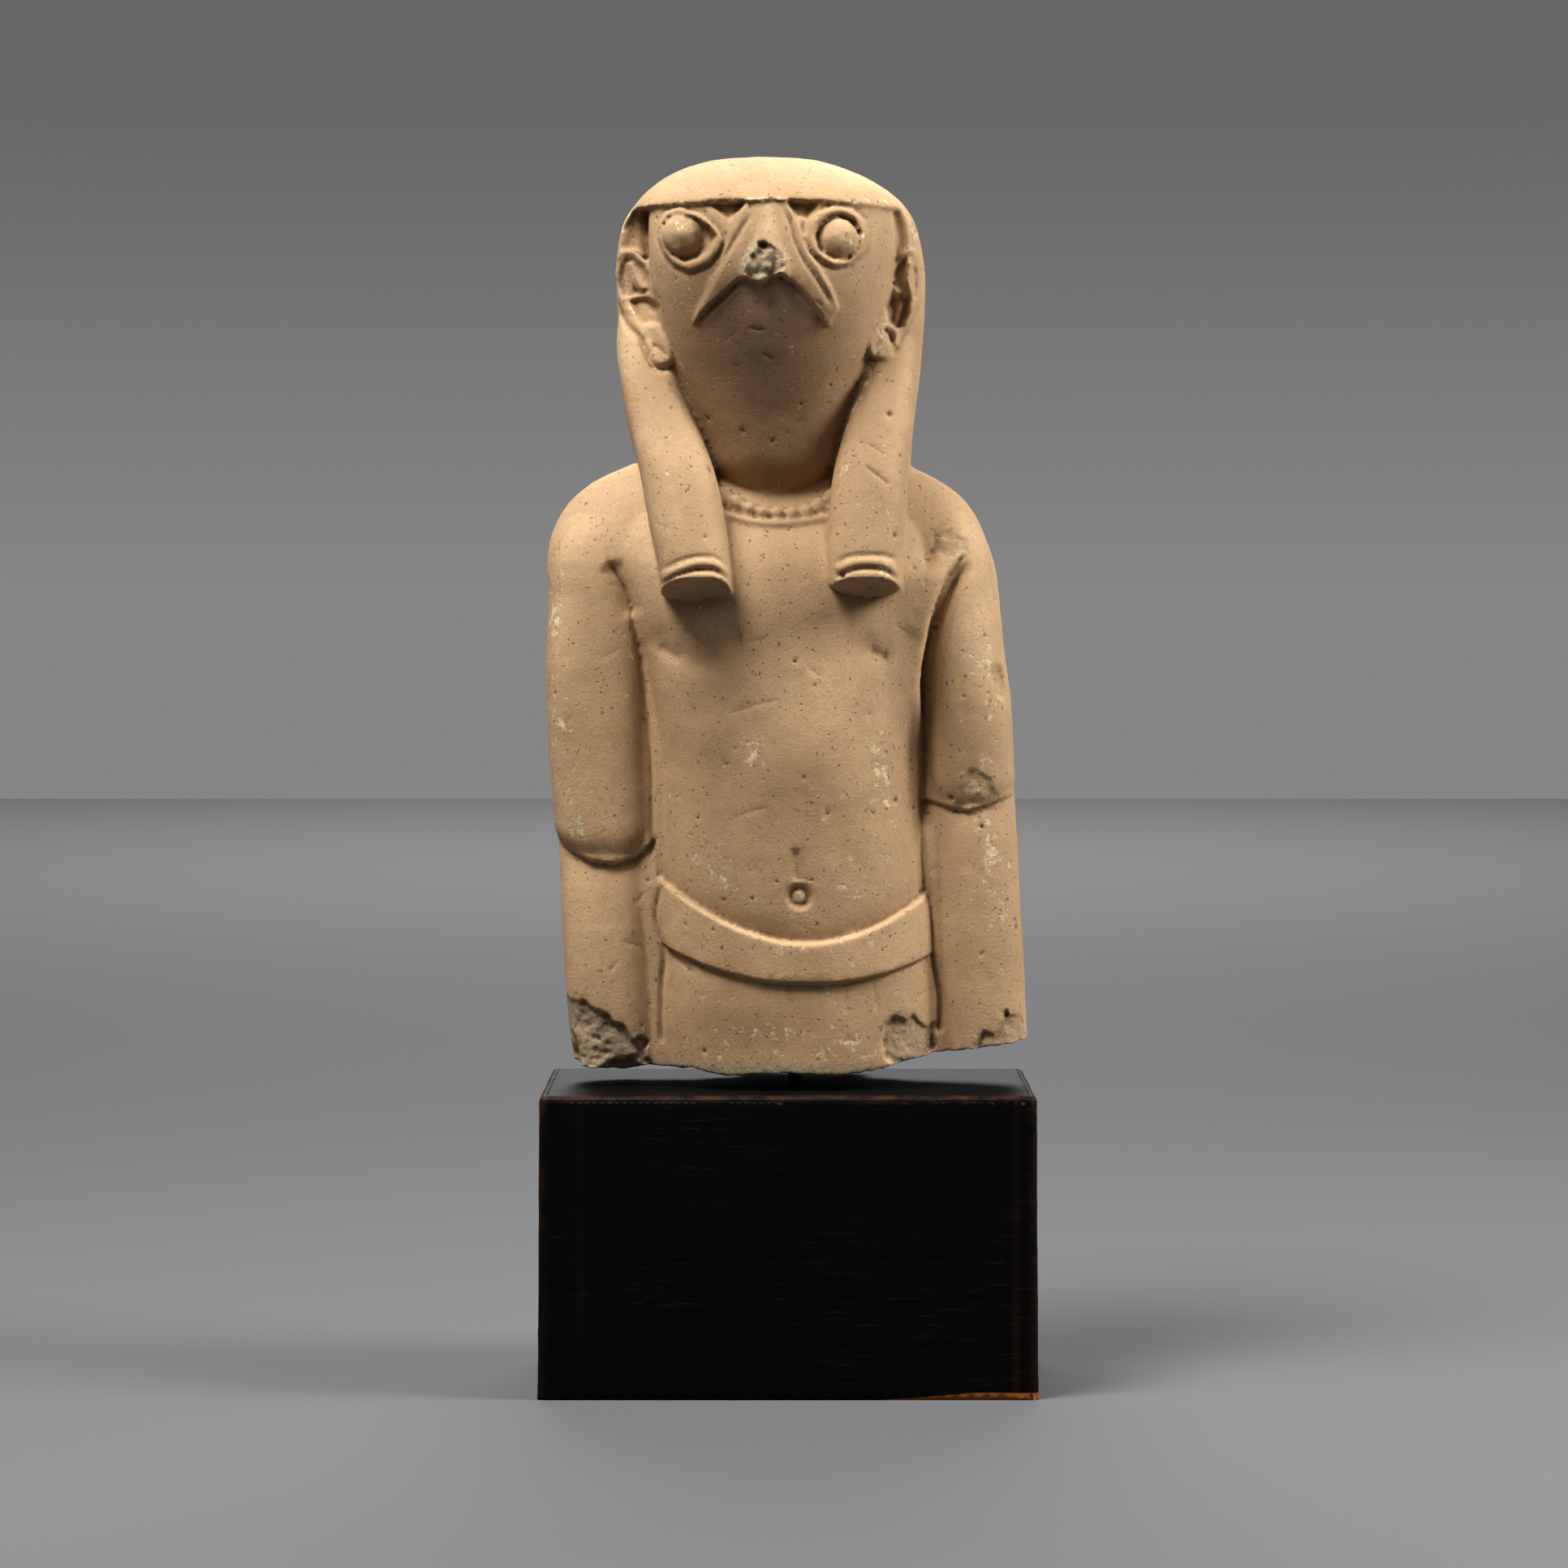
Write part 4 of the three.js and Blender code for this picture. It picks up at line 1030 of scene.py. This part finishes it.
# Pits in the skin: one to a cell of about 2.3 mm, with ragged edges, some cream and some dirty
PIT_CELLS_A_METRE = 430
RAGS_A_METRE = 800
RAGGED = 0.0022
ragged = node(limestone, "TexNoise", {"Vector": coords, "Scale": RAGS_A_METRE, "Detail": 3})
shift = node(limestone, "VectorMath", {0: ragged.outputs["Color"], 1: (RAGGED,) * 3}, operation="MULTIPLY")
place = node(limestone, "VectorMath", {0: coords, 1: shift}, operation="ADD")
cells = node(limestone, "TexVoronoi", {"Vector": place, "Scale": PIT_CELLS_A_METRE})
chance = node(limestone, "SeparateColor", {"Color": cells.outputs["Color"]})
size = node(limestone, "MapRange", {
    "Value": chance.outputs["Red"], "From Min": 0.5, "From Max": 1, "To Min": 0, "To Max": 0.25})
depth = node(limestone, "Math", {0: size, 1: cells}, operation="SUBTRACT")
pit = node(limestone, "MapRange", {"Value": depth, "From Max": 0.08})
dirty = node(limestone, "Math", {0: chance.outputs["Green"], 1: 0.55}, operation="GREATER_THAN")
pit_dirt = node(limestone, "Math", {0: pit, 1: dirty}, operation="MULTIPLY")
pit_cream = node(limestone, "Math", {0: pit, 1: pit_dirt}, operation="SUBTRACT")

# How much of each tone shows: noise, and the marks painted on the stone, pushed over a threshold
shares = {}
for name, first, second, weight, low, high, most in (
    ("patina", lumps["patina"], 0, 0, 0.35, 0.65, 1),
    ("mottle", lumps["mottle"], 0, 0, 0.3, 0.7, 0.5),
    ("speckle", lumps["speckle"], 0, 0, 0.3, 0.7, 0.4),
    ("patina_and_painted_shade", painted["patina_and_painted_shade"], lumps["mottle"], 0.5, 0.15, 1.1, 0.85),
    ("worn", lumps["flake"], painted["pale"], 0.17, 0.595, 0.68, 0.8),
    ("grain", lumps["crumb"], 0, 0, 0.35, 0.65, 1),
    ("pock", lumps["pock"], painted["pale"], 0.04, 0.655, 0.7, 0.7),
    ("soil", painted["dirt"], lumps["mottle"], 0.5, 0.3, 1.5, 0.7),
    ("stain_and_shade", painted["stains_and_painted_shade"], lumps["crumb"], 0.6, 0.75, 0.95, 1),
):
    total = node(limestone, "Math", {0: second, 1: weight, 2: first}, operation="MULTIPLY_ADD")
    shares[name] = node(limestone, "MapRange", {
        "Value": total, "From Min": low, "From Max": high, "To Max": most})
fresh = node(limestone, "Mix", {0: shares["grain"], 6: linear("#75654f"), 7: linear("#a9977b")},
             data_type="RGBA").outputs[2]
tone = linear("#9c7e5a")
for share, colour in (
    (shares["patina"], linear("#bfa07a")), (shares["mottle"], linear("#c6a783")),
    # The dark brown laid over the patina marks is also painted shade on the throat, the mask's left side, the
    # lappets' ends and the right lappet
    (shares["speckle"], linear("#967650")), (shares["patina_and_painted_shade"], linear("#5c442b")),
    (shares["pock"], linear("#6f5336")), (pit_cream, linear("#c2a881")), (pit_dirt, linear("#86694a")),
    (shares["worn"], linear("#d6c09a")), (painted["grey"], fresh), (shares["soil"], linear("#5c4127")),
    # The near-black brown laid over the stain marks is also painted shade above the belt, in the navel's
    # upper rim and beside the mask's lower left edge
    (shares["stain_and_shade"], linear("#3a2018")),
):
    tone = node(limestone, "Mix", {0: share, 6: tone, 7: colour}, data_type="RGBA").outputs[2]
relief = lumps["tooth"]
for share, height in ((pit, -2), (shares["worn"], -0.7), (shares["pock"], -2.4)):
    relief = node(limestone, "Math", {0: share, 1: height, 2: relief}, operation="MULTIPLY_ADD")
bump = node(limestone, "Bump", {"Height": relief, "Distance": 0.0003, "Strength": 0.9})
dull = node(limestone, "MapRange", {"Value": lumps["patina"], "To Min": 0.7, "To Max": 0.9})
surface = node(limestone, "BsdfPrincipled", {
    "Base Color": tone, "Roughness": dull, "IOR": 1.5, "Normal": bump})
node(limestone, "OutputMaterial", {"Surface": surface})
stone_mesh.materials.append(limestone)
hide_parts("horus_figure")
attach(figure, "root")

# Pin
# A straight steel rod, turned, filed and blackened, that stands in a drilled hole in the block.
# It reaches up into the stone and holds it clear of the block.
PIN_PLACE = (0.003, -0.002)
PIN_RADIUS = 0.003
PIN_CHAMFER = 0.0005
PIN_CLEARANCE = 0.0003
BORE_LENGTH = 0.104
pin_low, pin_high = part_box("mount_pin")
shape = bmesh.new()
bmesh.ops.create_cone(shape, cap_ends=True, segments=48, radius1=PIN_RADIUS, radius2=PIN_RADIUS,
                      depth=pin_high[2] - pin_low[2])
bmesh.ops.translate(shape, vec=(*PIN_PLACE, (pin_high[2] + pin_low[2]) / 2), verts=shape.verts)
rims = [e for e in shape.edges if abs(e.verts[0].co.z - e.verts[1].co.z) < 1e-6]
bmesh.ops.bevel(shape, geom=rims, offset=PIN_CHAMFER, segments=3, profile=0.5, affect="EDGES", material=-1)
pin_mesh = finished(shape)
for polygon in pin_mesh.polygons:
    polygon.use_smooth = len(polygon.vertices) == 4
pin = placed("steel_pin", pin_mesh)

# Blackened mild steel: dark, with the turning's fine rings, a quarter of a millimetre apart, and
# dull oxide patches of about 3 mm
RINGS_A_METRE = (40, 40, 4000)
OXIDE_A_METRE = 350
steel = material_of("blackened_steel")
coords = node(steel, "TexCoord").outputs["Object"]
along = node(steel, "Mapping", {"Vector": coords, "Scale": RINGS_A_METRE})
rings = node(steel, "TexNoise", {"Vector": along, "Scale": 1, "Detail": 2})
oxide = node(steel, "TexNoise", {"Vector": coords, "Scale": OXIDE_A_METRE, "Detail": 5, "Roughness": 0.7})
tone = node(steel, "Mix", {0: oxide, 6: linear("#46423e"), 7: linear("#24211f")}, data_type="RGBA")
dull = node(steel, "MapRange", {"Value": oxide, "To Min": 0.28, "To Max": 0.6})
bump = node(steel, "Bump", {"Height": rings, "Distance": 0.00005, "Strength": 0.5})
surface = node(steel, "BsdfPrincipled", {
    "Base Color": tone.outputs[2], "Metallic": 1, "Roughness": dull, "Normal": bump})
node(steel, "OutputMaterial", {"Surface": surface})
pin_mesh.materials.append(steel)
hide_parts("mount_pin")
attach(pin, "root")

# Block
# A squared block of hardwood, stained near black and waxed, slightly wider at its foot.
# Its arrises are worn round and brown, and the stain has gone from one stretch of the lower edge.
BLOCK_FLARE = 0.001
BLOCK_ARRIS = 0.003
WORN_BAND = 0.011
BAND_EDGE = 0.0022
PLAIN_EDGE = 0.007
SPLITTING_ROUNDS = 8
ARRIS_AT = (105.5, 62, 130)
WORN_REACH = 9
BROWN_REACH = 4
BROWN_ABOVE = 122
block_low, block_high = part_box("mount_block")
block_size = Vector(block_high) - Vector(block_low)
block_middle = (Vector(block_high) + Vector(block_low)) / 2
shape = bmesh.new()
bmesh.ops.create_cube(shape, size=1)
bmesh.ops.scale(shape, vec=block_size, verts=shape.verts)
bmesh.ops.translate(shape, vec=block_middle, verts=shape.verts)
for vert in shape.verts:
    if vert.co.z > block_middle.z:
        vert.co.x -= math.copysign(BLOCK_FLARE, vert.co.x)
        vert.co.y -= math.copysign(BLOCK_FLARE, vert.co.y)
upper = [e for e in shape.edges if max(v.co.z for v in e.verts) > block_middle.z]
bmesh.ops.bevel(
    shape, geom=upper, offset=BLOCK_ARRIS, segments=4, profile=0.5, affect="EDGES", material=-1)
block_mesh = finished(shape)
bore = bmesh.new()
bmesh.ops.create_cone(bore, cap_ends=True, segments=48, radius1=PIN_RADIUS + PIN_CLEARANCE,
                      radius2=PIN_RADIUS + PIN_CLEARANCE, depth=BORE_LENGTH)
bmesh.ops.translate(bore, vec=(*PIN_PLACE, block_high[2]), verts=bore.verts)
drill = placed("drill", finished(bore))
block_mesh = modified(block_mesh, "BOOLEAN", operation="DIFFERENCE", object=drill, solver="EXACT")
bpy.data.objects.remove(drill)
shape = opened(modified(block_mesh, "TRIANGULATE"))


def off_arris(edge):
    """How far the middle of a mesh edge is from the nearest arris of the block."""
    middle = (edge.verts[0].co + edge.verts[1].co) / 2
    gaps = (abs(middle.x) - block_high[0], abs(middle.y) - block_high[1], middle.z - block_high[2])
    return sorted(abs(gap) for gap in gaps)[1]


for step in range(SPLITTING_ROUNDS):
    long_edges = [e for e in shape.edges
                  if e.calc_length() > (BAND_EDGE if off_arris(e) < WORN_BAND else PLAIN_EDGE)]
    bmesh.ops.subdivide_edges(shape, edges=long_edges, cuts=1)
    bmesh.ops.triangulate(shape, faces=[f for f in shape.faces if len(f.verts) > 3])
block_mesh = finished(shape)
block_mesh.update()
wood_points = vertex_table(block_mesh)
facing = vertex_table(block_mesh, "normal")
grid_points = wood_points / GRID
dent = 0.12 * noise(grid_points, 40, 61) + 0.05 * noise(grid_points, 11, 62)
edges_near = np.sort(np.abs(np.abs(grid_points) - ARRIS_AT), axis=1)[:, 1]
uneven = 0.35 + 0.35 * noise(grid_points, 9, 63) + 0.2 * noise(grid_points, 3.5, 64)
worn = np.maximum(ease((WORN_REACH - edges_near) / WORN_REACH) * uneven, 0)
wood_points -= facing * (GRID * (0.2 + dent + 0.6 * worn))[:, None]
wood_points = np.clip(wood_points, block_low, block_high)
standing = grid_points[:, 2] < 0.5
wood_points[standing, 2] = block_low[2]
moved(block_mesh, wood_points)
block_mesh.shade_smooth()
block = placed("wood_block", block_mesh)

wear = block_mesh.attributes.new("wear", "FLOAT", "POINT")
rubbed_edge = ease((BROWN_REACH - edges_near) / BROWN_REACH)
rubbed_edge *= np.where(grid_points[:, 2] > BROWN_ABOVE, 1, 0.35)
wear.data.foreach_set("value", rubbed_edge.astype(np.float32))

# Stained hardwood: near black and satin, with faint grain lines 2 mm apart, rubbed scratches and
# bands that show brown, worn brown arrises, a few specks and one strip of bare wood
GRAIN_A_METRE = (14, 60, 520)
AREAS_A_METRE = 16
wood = material_of("stained_wood")
coords = node(wood, "TexCoord").outputs["Object"]
spread = node(wood, "SeparateXYZ", {"Vector": coords})
along = node(wood, "Mapping", {"Vector": coords, "Scale": GRAIN_A_METRE})
grain = node(wood, "TexNoise", {"Vector": along, "Scale": 1, "Detail": 5, "Roughness": 0.6})
areas = node(wood, "TexNoise", {"Vector": coords, "Scale": AREAS_A_METRE, "Detail": 3})
thick = node(wood, "MapRange", {"Value": areas, "From Min": 0.42, "From Max": 0.68})

# Scratches that run slantwise, about 1 mm apart, and two upright bands rubbed brown near the sides
SCRATCHES_A_METRE = (60, 200, 900)
SCRATCH_SLANT = 0.95
RUBBED_MIDDLE = 0.0045
RUBBED_OUT = 0.0925
RUBBED_HALF = 0.0016
turned = node(wood, "Mapping", {
    "Vector": coords, "Rotation": (0, SCRATCH_SLANT, 0), "Scale": SCRATCHES_A_METRE})
rubs = node(wood, "TexNoise", {"Vector": turned, "Scale": 1, "Detail": 4, "Roughness": 0.65})
scratch = node(wood, "MapRange", {"Value": rubs, "From Min": 0.58, "From Max": 0.76})
off_middle = node(wood, "Math", {0: spread.outputs["X"], 1: RUBBED_MIDDLE}, operation="SUBTRACT")
sideways = node(wood, "Math", {0: off_middle}, operation="ABSOLUTE")
band = node(wood, "Math", {0: sideways, 1: RUBBED_OUT, 2: RUBBED_HALF}, operation="COMPARE")
faint = node(wood, "Math", {0: band, 1: 0.3}, operation="MULTIPLY")
rubbed = node(wood, "Math", {0: scratch, 1: faint}, operation="ADD")
brown = node(wood, "Math", {0: rubbed, 1: thick}, operation="MULTIPLY")

# Arrises worn through the stain in patches of about 8 mm
PATCHES_A_METRE = 120
edge_wear = node(wood, "Attribute", attribute_name="wear")
patchy = node(wood, "TexNoise", {"Vector": coords, "Scale": PATCHES_A_METRE, "Detail": 6, "Roughness": 0.7})
patches = node(wood, "MapRange", {"Value": patchy, "From Min": 0.35, "From Max": 0.75})
arris = node(wood, "Math", {0: edge_wear.outputs["Fac"], 1: patches}, operation="MULTIPLY")

# Small flecks, in cells of about 13 mm, and the bare strip along the front's lower edge, deeper
# towards the right
FLECKS_A_METRE = 75
STRIP_STARTS = 0.026
STRIP_FULL = 0.08
STRIP_AHEAD_OF = -0.0595
cells = node(wood, "TexVoronoi", {"Vector": coords, "Scale": FLECKS_A_METRE})
chance = node(wood, "SeparateColor", {"Color": cells.outputs["Color"]})
size = node(wood, "MapRange", {
    "Value": chance.outputs["Red"], "From Min": 0.7, "From Max": 1, "To Min": 0, "To Max": 0.03})
speck = node(wood, "Math", {0: cells, 1: size}, operation="LESS_THAN")
rise = node(wood, "MapRange", {
    "Value": spread.outputs["X"], "From Min": STRIP_STARTS, "From Max": STRIP_FULL,
    "To Min": -0.0016, "To Max": 0.0022})
strip_top = node(wood, "Math", {0: areas, 1: 0.0016, 2: rise}, operation="MULTIPLY_ADD")
low = node(wood, "Math", {0: spread.outputs["Z"], 1: strip_top}, operation="LESS_THAN")
ahead = node(wood, "Math", {0: spread.outputs["Y"], 1: STRIP_AHEAD_OF}, operation="LESS_THAN")
bare = node(wood, "Math", {0: low, 1: ahead}, operation="MULTIPLY")
raw = node(wood, "Mix", {0: grain, 6: linear("#5f3619"), 7: linear("#a5683a")}, data_type="RGBA")
tone = node(wood, "Mix", {0: grain, 6: linear("#050404"), 7: linear("#0c0a09")}, data_type="RGBA").outputs[2]
for share, colour in (
    (brown, linear("#33231a")), (arris, linear("#4a2e1e")), (speck, linear("#8b7a66")),
    (bare, raw.outputs[2]),
):
    tone = node(wood, "Mix", {0: share, 6: tone, 7: colour}, data_type="RGBA").outputs[2]
sheen = node(wood, "MapRange", {"Value": grain, "To Min": 0.42, "To Max": 0.56})
bump = node(wood, "Bump", {"Height": grain, "Distance": 0.0002, "Strength": 0.35})
surface = node(wood, "BsdfPrincipled", {
    "Base Color": tone, "Roughness": sheen, "IOR": 1.45,
    "Specular IOR Level": 0.12, "Normal": bump})
node(wood, "OutputMaterial", {"Surface": surface})
block_mesh.materials.append(wood)
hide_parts("mount_block")
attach(block, "root")

# Floor and light
# A wide sheet of grey paper, lit hard from the upper left, softly from the right and weakly from
# the front, with a lamp over its far end.
floor_mesh = bpy.data.meshes.new("floor")
shape = bmesh.new()
bmesh.ops.create_grid(shape, x_segments=1, y_segments=1, size=6)
shape.to_mesh(floor_mesh)
shape.free()
floor = placed("floor", floor_mesh)
paper = material_of("grey_paper")
surface = node(paper, "BsdfPrincipled", {"Base Color": linear("#5a5a5c"), "Roughness": 0.9})
node(paper, "OutputMaterial", {"Surface": surface})
floor_mesh.materials.append(paper)


def lamp(name, place, target, size, power):
    """A round soft lamp aimed at a place, its size in metres and its power in watts."""
    light = bpy.data.lights.new(name, "AREA")
    light.shape = "DISK"
    light.size = size
    light.energy = power
    holder = placed(name, light)
    holder.location = place
    holder.rotation_euler = (Vector(target) - Vector(place)).to_track_quat("-Z", "Y").to_euler()
    holder.visible_camera = False


LAMP_TARGET = (0, 0, 0.36)
lamp("key", (-0.64, -0.6, 1.82), LAMP_TARGET, 0.8, 50)
lamp("fill", (1.41, -0.3, 1.26), LAMP_TARGET, 0.8, 37)
lamp("front", (-0.5, -1.25, 1.4), LAMP_TARGET, 0.8, 3)
lamp("ground", (0, 4.5, 3), (0, 4.5, 0), 4, 240)
world = bpy.data.worlds.new("studio")
bpy.context.scene.world = world
world.use_nodes = True
world.node_tree.nodes.clear()

# A grey backdrop that darkens upwards, as a lit sweep of paper does, with a dimmer room before it
way = node(world, "SeparateXYZ", {"Vector": node(world, "TexCoord").outputs["Generated"]})
sweep = node(world, "MapRange", {
    "Value": way.outputs["Z"], "From Min": 0, "From Max": 0.09, "To Min": 0.23, "To Max": 0.14})
for way_out, first, last, least in (("Z", 0.6, 0.1, 0.4), ("Y", -0.6, 0.3, 0.4)):
    share = node(world, "MapRange", {
        "Value": way.outputs[way_out], "From Min": first, "From Max": last, "To Min": least})
    sweep = node(world, "Math", {0: sweep, 1: share}, operation="MULTIPLY")
backdrop = node(world, "Background", {"Color": (1, 1, 1, 1), "Strength": sweep})
node(world, "OutputWorld", {"Surface": backdrop})
bpy.context.scene.view_settings.view_transform = "Standard"
bpy.context.scene.view_settings.look = "Medium High Contrast"
